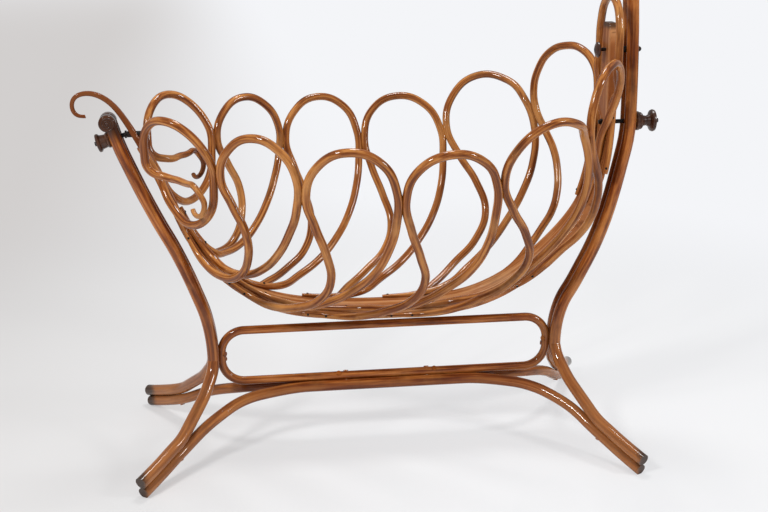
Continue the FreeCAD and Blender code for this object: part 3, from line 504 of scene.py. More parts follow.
@dataclass(frozen=True)
class StandFinish(BeechFinish):
    """The stand's beech: pale feet with dark tips of end grain, painted shade on the arches, dark scrolls."""

    middle_x: float = 0.0115
    # The feet turn paler and greyer towards the floor and towards their outer ends.
    faded: Shade = Shade(156, 104, 62)
    faded_share: float = 0.55
    faded_height: Pair = (0.42, 0.05)
    faded_reach: Pair = (0.26, 0.50)
    tip: Shade = Shade(42, 34, 29)
    tip_share: float = 0.9
    tip_reach: Pair = (0.548, 0.566)
    tip_height: Pair = (0.075, 0.050)
    tip_ragged: float = 0.012
    tip_grain: Triple = (130.0, 3.0, 0.6)
    tip_dull: float = 0.35
    # Painted shade: the arches, low in the middle under the basket, are darkened as if in its shadow.
    arch: Shade = Shade(92, 44, 20)
    arch_share: float = 0.5
    arch_height: Pair = (0.151, 0.146)
    arch_reach: Pair = (0.42, 0.24)
    scroll: Shade = Shade(50, 26, 15)
    scroll_share: float = 0.9
    scroll_height: Pair = (0.735, 0.775)
    scroll_reach: Pair = (-0.50, -0.56)

    def local(self, sheet: NodeSheet, place: Socket, facing: Socket, made: Surface) -> Surface:
        """Pales the feet, darkens their tips and scrolls, and paints shade on the arches; see BeechFinish."""
        along = sheet.axis(place, AXIS_X)
        height = sheet.axis(place, AXIS_Z)
        reach = sheet.reckon("SUBTRACT", along, self.middle_x, clamp=False)
        reach = sheet.reckon("ABSOLUTE", reach, clamp=False)
        down = sheet.spread(height, self.faded_height, (0, self.faded_share))
        colour = sheet.stained(made.colour, self.faded, down, sheet.spread(reach, self.faded_reach))
        grain = sheet.noise(place, *self.tip_grain)
        ragged = sheet.reckon("MULTIPLY_ADD", grain, self.tip_ragged, reach, clamp=False)
        out = sheet.spread(ragged, self.tip_reach)
        tip = sheet.reckon("MULTIPLY", out, sheet.spread(height, self.tip_height))
        colour = sheet.stained(colour, self.tip, tip, self.tip_share)
        # Painted shade on the arches, low in the middle where the basket shades them.
        under_basket_shade = sheet.spread(height, self.arch_height, (0, self.arch_share))
        colour = sheet.stained(colour, self.arch, under_basket_shade, sheet.spread(reach, self.arch_reach))
        high = sheet.spread(height, self.scroll_height)
        colour = sheet.stained(colour, self.scroll, high,
                               sheet.spread(along, self.scroll_reach, (0, self.scroll_share)))
        rough = sheet.reckon("ADD", made.rough, sheet.reckon("MULTIPLY", tip, self.tip_dull))
        return Surface(colour, rough, made.relief)


@dataclass(frozen=True)
class BoardFinish(BeechFinish):
    """The spine board: grain along its length, a redder hook, and dark end grain at the head's top."""

    grain_scale: Triple = (2.4, 85.0, 2.4)
    fleck_scale: Triple = (26.0, 520.0, 26.0)
    hook: Shade = Shade(100, 46, 14)
    hook_share: float = 0.8
    hook_from: Pair = (-0.40, -0.53)
    end_grain: Shade = Shade(58, 40, 30)
    crown_share: float = 0.85
    crown_height: Pair = (0.972, 0.984)

    def runs(self, sheet: NodeSheet, place: Socket, facing: Socket) -> tuple[Socket, Socket]:
        """Lays the grain along the board, which bends in X and Z alone; see BeechFinish."""
        return sheet.scaled(place, self.grain_scale), sheet.scaled(place, self.fleck_scale)

    def local(self, sheet: NodeSheet, place: Socket, facing: Socket, made: Surface) -> Surface:
        """Stains the hook and the crown; see BeechFinish."""
        hook = sheet.spread(sheet.axis(place, AXIS_X), self.hook_from, (0, self.hook_share))
        colour = sheet.mixed(hook, made.colour, self.hook.light())
        crown = sheet.spread(sheet.axis(place, AXIS_Z), self.crown_height, (0, self.crown_share))
        return Surface(sheet.mixed(crown, colour, self.end_grain.light()), made.rough, made.relief)


@dataclass(frozen=True)
class TurnedFinish(Finish):
    """Dark stained turned wood, with the fine lines of the lathe and rubbed brown edges."""

    dark: Shade = Shade(44, 20, 10)
    middle: Shade = Shade(72, 38, 20)
    rubbed: Shade = Shade(104, 66, 42)
    rubbed_share: float = 0.5
    tones: Pair = (0.35, 0.65)
    line_scale: Triple = (900.0, 25.0, 25.0)
    line_layers: float = 2.0
    use_scale: Triple = (5.0, 5.0, 5.0)
    sheen: Pair = (0.36, 0.56)
    gloss_level: float = 0.3
    coat: float = 0.35
    coat_rough: float = 0.18

    def surface(self, sheet: NodeSheet, place: Socket, facing: Socket) -> Surface:
        """Works out the surface; see Finish."""
        lines = sheet.noise(sheet.scaled(place, self.line_scale), 1.0, self.line_layers)
        use = HANDLING.use(sheet, Place=sheet.scaled(place, self.use_scale))
        colour = sheet.ramp(lines, list(zip(self.tones, (self.dark, self.middle))))
        colour = sheet.stained(colour, self.rubbed, use.outputs["Worn"], self.rubbed_share)
        rough = sheet.spread(use.outputs["Grime"], (0, 1), self.sheen)
        return Surface(colour, rough, lines)


@dataclass(frozen=True)
class IronFinish(Finish):
    """Blackened iron with brown rust where the black has gone."""

    black: Shade = Shade(34, 31, 30)
    rust: Shade = Shade(82, 52, 36)
    rust_share: float = 0.7
    rust_scale: Triple = (9.0, 9.0, 9.0)
    pit_scale: float = 420.0
    pit_layers: float = 3.0
    sheen: Pair = (0.40, 0.68)
    metal: float = 0.75
    relief_depth: float = 0.0001

    def surface(self, sheet: NodeSheet, place: Socket, facing: Socket) -> Surface:
        """Works out the surface; see Finish."""
        use = HANDLING.use(sheet, Place=sheet.scaled(place, self.rust_scale))
        colour = sheet.stained(self.black.light(), self.rust, use.outputs["Grime"], self.rust_share)
        rough = sheet.spread(use.outputs["Grime"], (0, 1), self.sheen)
        return Surface(colour, rough, sheet.noise(place, self.pit_scale, self.pit_layers))


LOOP_BEECH = BeechFinish("loop_beech")
STAND_BEECH = StandFinish("stand_beech", dark=Shade(86, 34, 10), middle=Shade(142, 74, 29),
                          light=Shade(184, 114, 55), worn=Shade(194, 132, 72))
BOARD_BEECH = BoardFinish("board_beech", dark=Shade(128, 70, 34), middle=Shade(162, 101, 58),
                          light=Shade(190, 134, 88), worn=Shade(200, 152, 108), relief_depth=0.00012,
                          coat=0.45)
DARK_TURNED = TurnedFinish("dark_turned")
BLACK_IRON = IronFinish("black_iron")


def clear_selection() -> None:
    """Leaves nothing selected, in object mode."""
    if bpy.context.object and bpy.context.object.mode != "OBJECT":
        bpy.ops.object.mode_set(mode="OBJECT")
    bpy.ops.object.select_all(action="DESELECT")


def settle(piece: bpy.types.Object) -> None:
    """Puts a piece's place into its mesh, so that its object sits at the origin."""
    clear_selection()
    piece.select_set(True)
    bpy.context.view_layer.objects.active = piece
    bpy.ops.object.transform_apply(location=True, rotation=True, scale=True)


def joined(pieces: list[bpy.types.Object], name: str) -> bpy.types.Object:
    """Joins pieces into one.

    Args:
        pieces: Pieces whose objects sit at the origin.
        name: The joined piece's name.

    Returns:
        The joined piece.
    """
    clear_selection()
    for piece in pieces:
        piece.select_set(True)
    bpy.context.view_layer.objects.active = pieces[0]
    bpy.ops.object.join()
    whole = bpy.context.object
    whole.name = name
    whole.data.name = name
    return whole


@dataclass(frozen=True)
class Seat:
    """Where a screw sits: a point inside a rod and the way out of it, both given for the back."""

    node: str
    spot: Triple | Vector
    way: Triple | Vector


class SmoothLine:
    """A smooth line through a few points, measured along its length."""

    arc_steps = 16
    corner_share = 2 / 3
    straight = 1e-9

    def __init__(self, points: list[Vector], held: dict[int, Vector] | None = None) -> None:
        """Draws the line.

        Args:
            points: The points that it passes through.
            held: The ways that it has to take at some of them, by their number.
        """
        ways = self.ways(points, held or {})
        self.spots = [points[0]]
        for start, end, leaves, meets in zip(points, points[1:], ways, ways[1:]):
            reach = self.reach(end - start, leaves, meets)
            first_corner = start + leaves * reach
            second_corner = end - meets * reach
            middle = (first_corner + second_corner) / 2
            self.spots += self.arc(start, first_corner, middle) + self.arc(middle, second_corner, end)
        self.marks = [0.0]
        for before, after in zip(self.spots, self.spots[1:]):
            self.marks.append(self.marks[-1] + (after - before).length)

    def ways(self, points: list[Vector], held: dict[int, Vector]) -> list[Vector]:
        """The way that the line takes through each of its points.

        Args:
            points: The points.
            held: The ways that are settled already, by number.

        Returns:
            One way for each point, the nearer of its neighbours counting more.
        """
        found = {number: way.normalized() for number, way in held.items()}
        chords = [end - start for start, end in zip(points, points[1:])]
        last = len(chords)
        for number in range(1, last):
            before = chords[number - 1]
            after = chords[number]
            free = before / before.length_squared + after / after.length_squared
            found.setdefault(number, free.normalized())
        found.setdefault(0, -found[1].reflect(chords[0].normalized()))
        found.setdefault(last, -found[last - 1].reflect(chords[-1].normalized()))
        return [found[number] for number in range(len(points))]

    def reach(self, chord: Vector, leaves: Vector, meets: Vector) -> float:
        """How far the corners of a span's two arcs lie from its ends.

        Args:
            chord: From the span's start to its end.
            leaves: The way at its start.
            meets: The way at its end.

        Returns:
            The distance, the same at both ends.
        """
        along = chord.dot(leaves + meets)
        turn = 2 * (1 - leaves.dot(meets))
        if turn < self.straight:
            return chord.length_squared / (2 * along)
        return (math.sqrt(along ** 2 + turn * chord.length_squared) - along) / turn

    def arc(self, start: Vector, corner: Vector, end: Vector) -> list[Vector]:
        """Points of the bend that a corner is rounded to, after its start."""
        leaves = start.lerp(corner, self.corner_share)
        meets = end.lerp(corner, self.corner_share)
        return interpolate_bezier(start, leaves, meets, end, self.arc_steps + 1)[1:]

    def at(self, distance: float) -> tuple[Vector, Vector]:
        """A point of the line.

        Args:
            distance: How far along the line it lies.

        Returns:
            The point and the line's way there.
        """
        number = min(max(bisect_right(self.marks, distance), 1), len(self.marks) - 1)
        start = self.spots[number - 1]
        step = self.spots[number] - start
        way = step.normalized()
        return start + way * (distance - self.marks[number - 1]), way

    def evenly(self, count: int) -> list[Vector]:
        """Points at even distances, from the start to the end of the line."""
        return [self.at(self.marks[-1] * number / (count - 1))[0] for number in range(count)]


@dataclass(frozen=True)
class BasketPlan:
    """The basket's own measure, in which its lines are drawn as shares."""

    middle: float = 0.0285
    axis: float = 0.760
    reach: float = 0.518
    half_width: float = 0.372
    depth: float = 0.434

    def point(self, shares: Triple) -> Vector:
        """A point on the back from its shares of the reach, the half width and the depth."""
        x, y, z = shares
        return Vector((self.middle + self.reach * x, self.half_width * y, self.axis + self.depth * z))


PLAN = BasketPlan()


class SpineBoard:
    """The spine board as the rods that lie along it find it, measured along its centre line."""

    node = "spine_board"
    centre_shares = (
        (-1.157, 0, 0.122), (-1.095, 0, 0.0), (-1.000, 0, -0.222), (-0.934, 0, -0.408), (-0.865, 0, -0.590),
        (-0.772, 0, -0.737), (-0.650, 0, -0.855), (-0.500, 0, -0.938), (-0.290, 0, -0.985), (-0.030, 0, -1.0),
        (0.228, 0, -0.993), (0.410, 0, -0.955), (0.590, 0, -0.858), (0.724, 0, -0.735), (0.848, 0, -0.580),
        (0.935, 0, -0.400), (0.985, 0, -0.190), (1.0, 0, 0.0), (1.004, 0, 0.207),
    )
    slope_step = 0.004
    rod_radius = 0.008
    rod_gap = 0.0003
    rod_seat = rod_radius + rod_gap
    rod_lane = rod_radius + rod_gap / 2

    def __init__(self) -> None:
        """Draws the centre line."""
        self.line = SmoothLine([PLAN.point(shares) for shares in self.centre_shares])

    def station(self, distance: float) -> tuple[Vector, Vector, Vector]:
        """The board at a distance along it.

        Args:
            distance: How far along the centre line.

        Returns:
            The centre, the way along the board and the way up from its inner face.
        """
        centre, way = self.line.at(distance)
        return centre, way, way.cross(ACROSS)

    def reach(self, start: Vector, way: Vector) -> float:
        """How far the board reaches from a point inside it."""
        _, spot, _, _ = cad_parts[self.node].ray_cast(start, way)
        return (spot - start).length

    def half_width(self, distance: float) -> float:
        """Half the board's width at a distance along it."""
        return self.reach(self.station(distance)[0], ACROSS)

    def widening(self, distance: float) -> float:
        """How fast the half width grows along the board."""
        far = self.half_width(distance + self.slope_step)
        near = self.half_width(distance - self.slope_step)
        return (far - near) / (2 * self.slope_step)

    def edge(self, distance: float) -> Vector:
        """The middle of the board's back edge."""
        return self.station(distance)[0] + ACROSS * self.half_width(distance)

    def edge_lane(self, distance: float) -> tuple[Vector, Vector]:
        """Where a rod lies against the back edge.

        Args:
            distance: How far along the board.

        Returns:
            The middle of the rod and its way.
        """
        centre, way, _ = self.station(distance)
        widening = self.widening(distance)
        out = self.half_width(distance) + self.rod_seat * math.hypot(1, widening)
        return centre + ACROSS * out, way + ACROSS * widening

    def face_lane(self, distance: float) -> tuple[Vector, Vector]:
        """Where a rod lies on the inner face, in line with the back edge.

        Args:
            distance: How far along the board.

        Returns:
            The middle of the rod and its way.
        """
        centre, way, up = self.station(distance)
        lift = self.reach(centre, up) + self.rod_seat
        inset = self.half_width(distance) - self.rod_radius
        widening = self.widening(distance)
        if inset < self.rod_lane:
            inset = self.rod_lane
            widening = 0.0
        return centre + up * lift + ACROSS * inset, way + ACROSS * widening


@dataclass(frozen=True)
class OpenLoop:
    """An open loop: where it stands along the spine board, and its legs in shares of its width and height."""

    name: str
    stands: float
    lean_share: float
    inner_end_shares: tuple[float, ...] = (-1.42, -1.18, -0.92)
    outer_end_shares: tuple[float, ...] = (-1.16, -1.30, -1.45)
    low_shares: tuple[Triple, ...] = ((-0.40, 0.112, -0.3), (-0.12, 0.188, -0.3))


class LoopPlan:
    """Draws the centre lines of the loops between the foot loop and the head board, for the back."""

    touch_shares = (
        (-1.048, 0.266, -0.023), (-0.752, 0.540, -0.145), (-0.423, 0.815, -0.192), (-0.031, 0.900, -0.224),
        (0.376, 0.855, -0.168), (0.790, 0.630, -0.045), (1.004, 0.215, 0.230),
    )
    top_shares = (
        (-0.946, 0.484, 0.134), (-0.614, 0.705, 0.078), (-0.236, 0.945, 0.039), (0.158, 1.0, 0.025),
        (0.597, 0.925, 0.148), (0.920, 0.447, 0.362),
    )
    rising_shares = ((0.14, 0.285, -0.6), (0.34, 0.39, -0.3), (0.47, 0.51, -0.5))
    falling_shares = (
        (-0.37, 0.53, 0.1), (-0.25, 0.41, 0.8), (-0.25, 0.33, 1.5), (-0.37, 0.245, 1.9), (-0.68, 0.14, 1.5),
    )
    touch_height_share = 0.70
    bulge_share = 0.125
    loops = (
        OpenLoop("loop_2", 0.525, 0.30, (-1.45, -1.25, -1.05, -0.88), (-1.08, -1.20, -1.32, -1.45),
                 ((-0.40, 0.115, -1.7), (-0.12, 0.19, -1.0))),
        OpenLoop("loop_3", 0.729, 0.11),
        OpenLoop("loop_4", 0.933, 0.01),
        OpenLoop("loop_5", 1.163, 0.04),
    )
    head_board_loop = "loop_6"
    head_board_ends = (1.425, 1.485, 1.546)
    head_board_rising = (
        (0.527, 0.036, 0.736), (0.538, 0.056, 0.786), (0.547, 0.074, 0.833), (0.544, 0.099, 0.880),
        (0.525, 0.133, 0.911),
    )
    head_board_falling = (
        (0.462, 0.207, 0.698), (0.479, 0.179, 0.648), (0.481, 0.152, 0.592), (0.467, 0.122, 0.534),
        (0.443, 0.101, 0.499), (0.414, 0.086, 0.466), (0.380, 0.073, 0.425), (0.347, 0.067, 0.396),
        (0.314, 0.064, 0.375),
    )
    knots = 22
    screw_from_end = 0.013
    screw_from_bend = 0.002

    def __init__(self) -> None:
        """Measures the board and sets the places where the loops touch and turn."""
        self.board = SpineBoard()
        self.touches = [PLAN.point(shares) for shares in self.touch_shares]
        self.tops = [PLAN.point(shares) for shares in self.top_shares]

    def touch(self, number: int) -> tuple[Vector, Vector, Vector]:
        """Where two loops touch.

        Args:
            number: The touch, counted from the foot loop's own turn.

        Returns:
            The place, the way across to the next loop, and the rods' common way up.
        """
        before, spot, after = self.touches[number - 1:number + 2]
        across = ((spot - before).normalized() + (after - spot).normalized()).normalized()
        up = (self.tops[number - 1] + self.tops[number]) / 2 - spot
        return spot, across, (up - across * up.dot(across)).normalized()

    def frame_of(self, number: int) -> tuple[Vector, Vector, float]:
        """A loop's two touches and its width, by its number among the loops."""
        left, left_step, _ = self.touch(number)
        right, right_step, _ = self.touch(number + 1)
        left = left + left_step * self.board.rod_lane
        right = right - right_step * self.board.rod_lane
        return left, right, (right - left).length

    def line(self, number: int) -> SmoothLine:
        """The centre line of one loop, from its inner end to its outer end.

        Args:
            number: The loop, counted from the first.

        Returns:
            The line.
        """
        loop = self.loops[number - 1]
        left, right, width = self.frame_of(number)
        middle = (left + right) / 2
        across = (right - left).normalized()
        rise = middle - self.board.edge(loop.stands)
        outward = -across.cross(rise).normalized()

        def leg(shares: Triple, lean_share: float = 0.0) -> Vector:
            """A point of a leg from its shares of the width, the height and a rod outwards."""
            along = (shares[0] + lean_share) * width
            up = shares[1] / self.touch_height_share
            spot = self.board.edge(loop.stands + along).lerp(middle + across * along, up)
            bulge = 4 * up * (1 - up) * self.bulge_share * rise.length
            return spot + outward * (bulge + shares[2] * self.board.rod_lane)

        stops = [self.board.face_lane(loop.stands + share * width) for share in loop.inner_end_shares]
        stops += [(leg(shares), None) for shares in loop.low_shares + self.rising_shares]
        stops.append((right, self.touch(number + 1)[2]))
        stops.append((self.tops[number], Vector((-across.x, -across.y, 0))))
        stops.append((left, -self.touch(number)[2]))
        stops += [(leg(shares, loop.lean_share), None) for shares in self.falling_shares]
        for share in loop.outer_end_shares:
            spot, way = self.board.edge_lane(loop.stands + share * width)
            stops.append((spot, -way))
        return self.through(stops)

    def head_board_line(self) -> SmoothLine:
        """The centre line of the loop beside the head board, from its inner end to its outer end."""
        number = len(self.loops) + 1
        meeting, step, up = self.touch(number)
        left = meeting + step * self.board.rod_lane
        right = self.touches[-1] + ACROSS * self.board.rod_lane
        stops = [self.board.face_lane(place) for place in self.head_board_ends]
        stops += [(Vector(spot), None) for spot in self.head_board_rising]
        stops.append((self.tops[number], Vector((left.x - right.x, left.y - right.y, 0))))
        stops.append((left, -up))
        stops += [(Vector(spot), None) for spot in self.head_board_falling]
        return self.through(stops)

    @staticmethod
    def through(stops: list[tuple[Vector, Vector | None]]) -> SmoothLine:
        """A smooth line through places, with the ways that it has to take at some of them."""
        held = {number: way for number, (_, way) in enumerate(stops) if way is not None}
        return SmoothLine([spot for spot, _ in stops], held)

    def lines(self) -> dict[str, SmoothLine]:
        """The centre line of every loop, by its name."""
        found = {loop.name: self.line(number) for number, loop in enumerate(self.loops, 1)}
        found[self.head_board_loop] = self.head_board_line()
        return found

    def screw_places(self, ends: Sequence[float]) -> Pair:
        """How far along the board the two screws of a rod's end sit, between its tip and its bend."""
        return min(ends) + self.screw_from_end, max(ends) - self.screw_from_bend

    def face_seats(self, name: str, ends: Sequence[float]) -> list[Seat]:
        """Where the screws of a loop's inner end sit.

        Args:
            name: The loop.
            ends: Where its end lies, along the board.

        Returns:
            The two seats on the board's inner face.
        """
        return [Seat(name, self.board.face_lane(place)[0], self.board.station(place)[2])
                for place in self.screw_places(ends)]

    def seats(self) -> list[Seat]:
        """Where the loops' screws sit, two on each end that lies along the measured board."""
        found = []
        for number, loop in enumerate(self.loops, 1):
            width = self.frame_of(number)[2]
            inner_ends = [loop.stands + share * width for share in loop.inner_end_shares]
            outer_ends = [loop.stands + share * width for share in loop.outer_end_shares]
            found += self.face_seats(loop.name, inner_ends)
            for place in self.screw_places(outer_ends):
                found.append(Seat(loop.name, self.board.edge_lane(place)[0], ACROSS))
        return found + self.face_seats(self.head_board_loop, self.head_board_ends)


@dataclass(frozen=True)
class SlottedScrew:
    """A small round-headed wood screw; only its head shows."""

    head: float = 0.0056
    rise: float = 0.0014
    sunk: float = 0.0010
    slot_width: float = 0.0009
    slot_depth: float = 0.0008
    slot_length_share: float = 1.2
    dome_share: float = 0.8
    dome_steps: int = 3
    facets: int = 20
    smooth_angle: float = math.radians(35)
    reach: float = 0.030

    def model(self) -> bpy.types.Object:
        """One screw head at the origin, facing +Z.

        Returns:
            The screw, to be copied and then removed.
        """
        clear_selection()
        depth = self.rise + self.sunk
        bpy.ops.mesh.primitive_cylinder_add(vertices=self.facets, radius=self.head / 2, depth=depth,
                                            location=(0, 0, depth / 2 - self.sunk))
        screw = bpy.context.object
        settle(screw)
        dome = screw.modifiers.new("dome", "BEVEL")
        dome.width = self.rise * self.dome_share
        dome.segments = self.dome_steps
        dome.limit_method = "ANGLE"
        bpy.ops.object.modifier_apply(modifier=dome.name)
        slot_size = (self.head * self.slot_length_share, self.slot_width, self.slot_depth * 2)
        bpy.ops.mesh.primitive_cube_add(size=1, location=(0, 0, self.rise), scale=slot_size)
        cutter = bpy.context.object
        settle(cutter)
        clear_selection()
        screw.select_set(True)
        bpy.context.view_layer.objects.active = screw
        slot = screw.modifiers.new("slot", "BOOLEAN")
        slot.operation = "DIFFERENCE"
        slot.object = cutter
        slot.solver = "EXACT"
        bpy.ops.object.modifier_apply(modifier=slot.name)
        bpy.data.objects.remove(cutter, do_unlink=True)
        bpy.ops.object.shade_smooth_by_angle(angle=self.smooth_angle)
        return screw

    def place(self, pattern: bpy.types.Object, carrier: bpy.types.Object, seat: Seat, side: Side,
              turn: float) -> bpy.types.Object:
        """Sets one screw on the rod that carries it.

        Args:
            pattern: The screw to copy.
            carrier: The rod.
            seat: Where it sits.
            side: The side of the cradle.
            turn: The angle at which its slot came to rest.

        Returns:
            The copy, its place in its mesh.
        """
        way = side.place(seat.way).normalized()
        start = side.place(seat.spot) + way * self.reach
        hit, spot, normal, _ = carrier.ray_cast(start, -way)
        if not hit:
            raise ValueError(f"no rod under the screw on {carrier.name} at {tuple(start)}")
        screw = pattern.copy()
        screw.data = pattern.data.copy()
        bpy.context.scene.collection.objects.link(screw)
        facing = normal.to_track_quat("Z", "Y").to_matrix().to_4x4()
        screw.data.transform(Matrix.Translation(spot) @ facing @ Matrix.Rotation(turn, 4, "Z"))
        return screw


@dataclass(frozen=True)
class ScrollCarving:
    """The raised spiral carved on the outer face of a foot post's scroll."""

    centre: Triple = (-0.59466, 0.02815, 0.78854)
    outer: float = 0.0155
    inner: float = 0.0036
    turns: float = 2.2
    bead: float = 0.0017
    bead_steps: int = 3
    thinning: float = 0.35
    winding: float = 0.85
    points: int = 60
    order: int = 3
    start: float = math.radians(-70)
    button_share: float = 1.1
    button_flatness: float = 0.6
    button_facets: tuple[int, int] = (20, 12)

    def model(self, side: Side) -> bpy.types.Object:
        """The spiral bead and its middle button on one post.

        Args:
            side: The side of the cradle.

        Returns:
            The carving as one piece.
        """
        clear_selection()
        bpy.ops.curve.primitive_nurbs_path_add(location=(0, 0, 0))
        line = bpy.context.object
        spline = line.data.splines[0]
        spline.points.add(self.points - len(spline.points))
        centre = side.place(self.centre)
        for number, point in enumerate(spline.points):
            share = number / (self.points - 1)
            radius = self.outer + (self.inner - self.outer) * share ** self.winding
            angle = self.start + share * self.turns * math.tau
            point.co = (*(centre + Vector((math.cos(angle), 0, math.sin(angle))) * radius), 1)
            point.radius = 1 - self.thinning * share
        spline.order_u = self.order
        spline.use_endpoint_u = True
        line.data.bevel_depth = self.bead
        line.data.bevel_resolution = self.bead_steps
        line.data.use_fill_caps = True
        bpy.ops.object.convert(target="MESH")
        bead = bpy.context.object
        clear_selection()
        segments, rings = self.button_facets
        bpy.ops.mesh.primitive_uv_sphere_add(segments=segments, ring_count=rings, location=centre,
                                             radius=self.inner * self.button_share,
                                             scale=(1, self.button_flatness, 1))
        button = bpy.context.object
        settle(button)
        bpy.ops.object.shade_smooth()
        return joined([bead, button], f"scroll_carving_{side.word}")


class Stand:
    """The stand that doesn't move: posts with the mast, arches, ring, pins and knobs."""

    beech = ("foot_post_front", "foot_post_back", "head_post_front", "head_post_back", "arch_front",
             "arch_back", "ring", "ring_end_screws", "arch_screws", "foot_screws")
    turned = ("foot_pivot_knob", "head_pivot_knob")
    iron = ("foot_pivot_bolt", "head_pivot_bolt", "lock_keeper")
    carving = ScrollCarving()

    def build(self) -> None:
        """Models the carved scrolls."""
        for side in Side:
            piece = self.carving.model(side)
            DARK_TURNED.dress(piece)
            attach(piece, Body.STAND.value)
            log.info("stand: %s", piece.name)

    def dress(self) -> None:
        """Gives every node of the stand its finish."""
        for names, finish in ((self.beech, STAND_BEECH), (self.turned, DARK_TURNED), (self.iron, BLACK_IRON)):
            for name in names:
                finish.dress(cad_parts[name])
        log.info("stand: dressed")


class Basket:
    """The basket that swings: spine board, loops, bushes, and the screws that hold the loops."""

    board = "spine_board"
    bushes = ("foot_bush", "head_bush")
    thicker = 0.0013
    merge_reach = 0.00002
    loop_radius = 0.0093
    tip_share = 0.45
    tip_knots = 2
    knot_steps = 10
    round_steps = 6
    smooth_angle = math.radians(40)
    screw = SlottedScrew()
    screw_turn = 2.4
    end_seats = (
        Seat("loop_6", (0.364, 0.069, 0.411), ACROSS),
        Seat("loop_6", (0.330, 0.062, 0.386), ACROSS),
        Seat("loop_1", (-0.519, 0.019, 0.723), ACROSS),
        Seat("loop_1", (-0.4915, 0.018, 0.668), ACROSS),
        Seat("head_loop", (0.5355, 0.0475, 0.6605), ACROSS),
        Seat("head_loop", (0.5475, 0.0415, 0.778), ACROSS),
    )

    def let_down(self, knots: list[Vector]) -> list[Vector]:
        """Lets a rod's pared ends down on the board, the inner end on its face and the outer on its edge.

        Args:
            knots: Points of the rod's centre line, from its inner end to its outer end.

        Returns:
            The points, those of the ends moved.
        """
        up = (knots[1] - knots[0]).cross(ACROSS).normalized()
        drop = self.loop_radius * (1 - self.tip_share)
        for number in range(self.tip_knots):
            share = 1 - number / self.tip_knots
            knots[number] -= up * drop * share
            knots[-1 - number] -= ACROSS * drop * share
        return knots

    def bend(self, name: str, knots: list[Vector], side: Side) -> bpy.types.Object:
        """Models a loop from its centre line, as a rod whose two ends are pared down.

        Args:
            name: The loop.
            knots: Points of its centre line, given for the back.
            side: The side of the cradle.

        Returns:
            The bent rod.
        """
        clear_selection()
        bpy.ops.curve.primitive_bezier_curve_add(location=(0, 0, 0))
        line = bpy.context.object
        line.name = f"{name}_{side.word}_rod"
        turns = line.data.splines[0].bezier_points
        turns.add(len(knots) - len(turns))
        for number, (turn, knot) in enumerate(zip(turns, knots)):
            from_end = min(number, len(knots) - 1 - number)
            turn.co = side.place(knot)
            turn.handle_left_type = "AUTO"
            turn.handle_right_type = "AUTO"
            turn.radius = self.tip_share + (1 - self.tip_share) * min(from_end / self.tip_knots, 1)
        line.data.resolution_u = self.knot_steps
        line.data.bevel_depth = self.loop_radius
        line.data.bevel_resolution = self.round_steps
        line.data.use_fill_caps = True
        bpy.ops.object.convert(target="MESH")
        rod = bpy.context.object
        bpy.ops.object.shade_smooth_by_angle(angle=self.smooth_angle)
        return rod

    def thicken(self, name: str) -> bpy.types.Object:
        """Models a loop at its full thickness, round the slimmer solid that it stands for.

        Args:
            name: The loop's node.

        Returns:
            The thicker loop.
        """
        clear_selection()
        rod = bpy.data.objects.new(f"{name}_rod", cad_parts[name].data.copy())
        bpy.context.scene.collection.objects.link(rod)
        rod.select_set(True)
        bpy.context.view_layer.objects.active = rod
        bpy.ops.mesh.customdata_custom_splitnormals_clear()
        bpy.ops.object.mode_set(mode="EDIT")
        bpy.ops.mesh.select_all(action="SELECT")
        bpy.ops.mesh.remove_doubles(threshold=self.merge_reach)
        bpy.ops.transform.shrink_fatten(value=self.thicker)
        bpy.ops.object.mode_set(mode="OBJECT")
        bpy.ops.object.shade_smooth_by_angle(angle=self.smooth_angle)
        return rod

    def build(self) -> None:
        """Models the loops at their full thickness, and the screws of each side as one piece."""
        plan = LoopPlan()
        rods = {f"{name}_{side.word}": self.bend(name, self.let_down(line.evenly(plan.knots)), side)
                for name, line in plan.lines().items() for side in Side}
        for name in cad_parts:
            if name.startswith(("loop_", "head_loop")) and name not in rods:
                rods[name] = self.thicken(name)
        for name, rod in rods.items():
            LOOP_BEECH.dress(rod)
            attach(rod, Body.BASKET.value)
            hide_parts(name)
        log.info("basket: %d loops", len(rods))
        bpy.context.view_layer.update()
        seats = [*plan.seats(), *self.end_seats]
        pattern = self.screw.model()
        for side in Side:
            made = []
            for number, seat in enumerate(seats):
                name = seat.node if seat.node in rods else f"{seat.node}_{side.word}"
                made.append(self.screw.place(pattern, rods[name], seat, side, number * self.screw_turn))
            piece = joined(made, f"loop_screws_{side.word}")
            BLACK_IRON.dress(piece)
            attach(piece, Body.BASKET.value)
            log.info("basket: %s, %d screws", piece.name, len(seats))
        bpy.data.objects.remove(pattern, do_unlink=True)

    def dress(self) -> None:
        """Gives every node of the basket its finish."""
        BOARD_BEECH.dress(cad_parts[self.board])
        for name in self.bushes:
            BLACK_IRON.dress(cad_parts[name])
        log.info("basket: dressed")


class SwingLock:
    """The sliding pin that keeps the basket still, and its knob."""

    pin = "lock_pin"
    knob = "lock_knob"

    def dress(self) -> None:
        """Gives the pin and its knob their finishes."""
        BLACK_IRON.dress(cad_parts[self.pin])
        DARK_TURNED.dress(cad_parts[self.knob])
        log.info("swing lock: dressed")


@dataclass(frozen=True)
class Lamp:
    """One soft studio lamp, aimed at the middle of the cradle."""

    name: str
    spot: Triple
    size: float
    power: float

    def hang(self, aim: Vector) -> None:
        """Adds the lamp.

        Args:
            aim: The point that it looks at.
        """
        clear_selection()
        bpy.ops.object.light_add(type="AREA", location=self.spot)
        lamp = bpy.context.object
        lamp.name = self.name
        lamp.data.size = self.size
        lamp.data.energy = self.power
        lamp.rotation_euler = (aim - Vector(self.spot)).to_track_quat("-Z", "Y").to_euler()


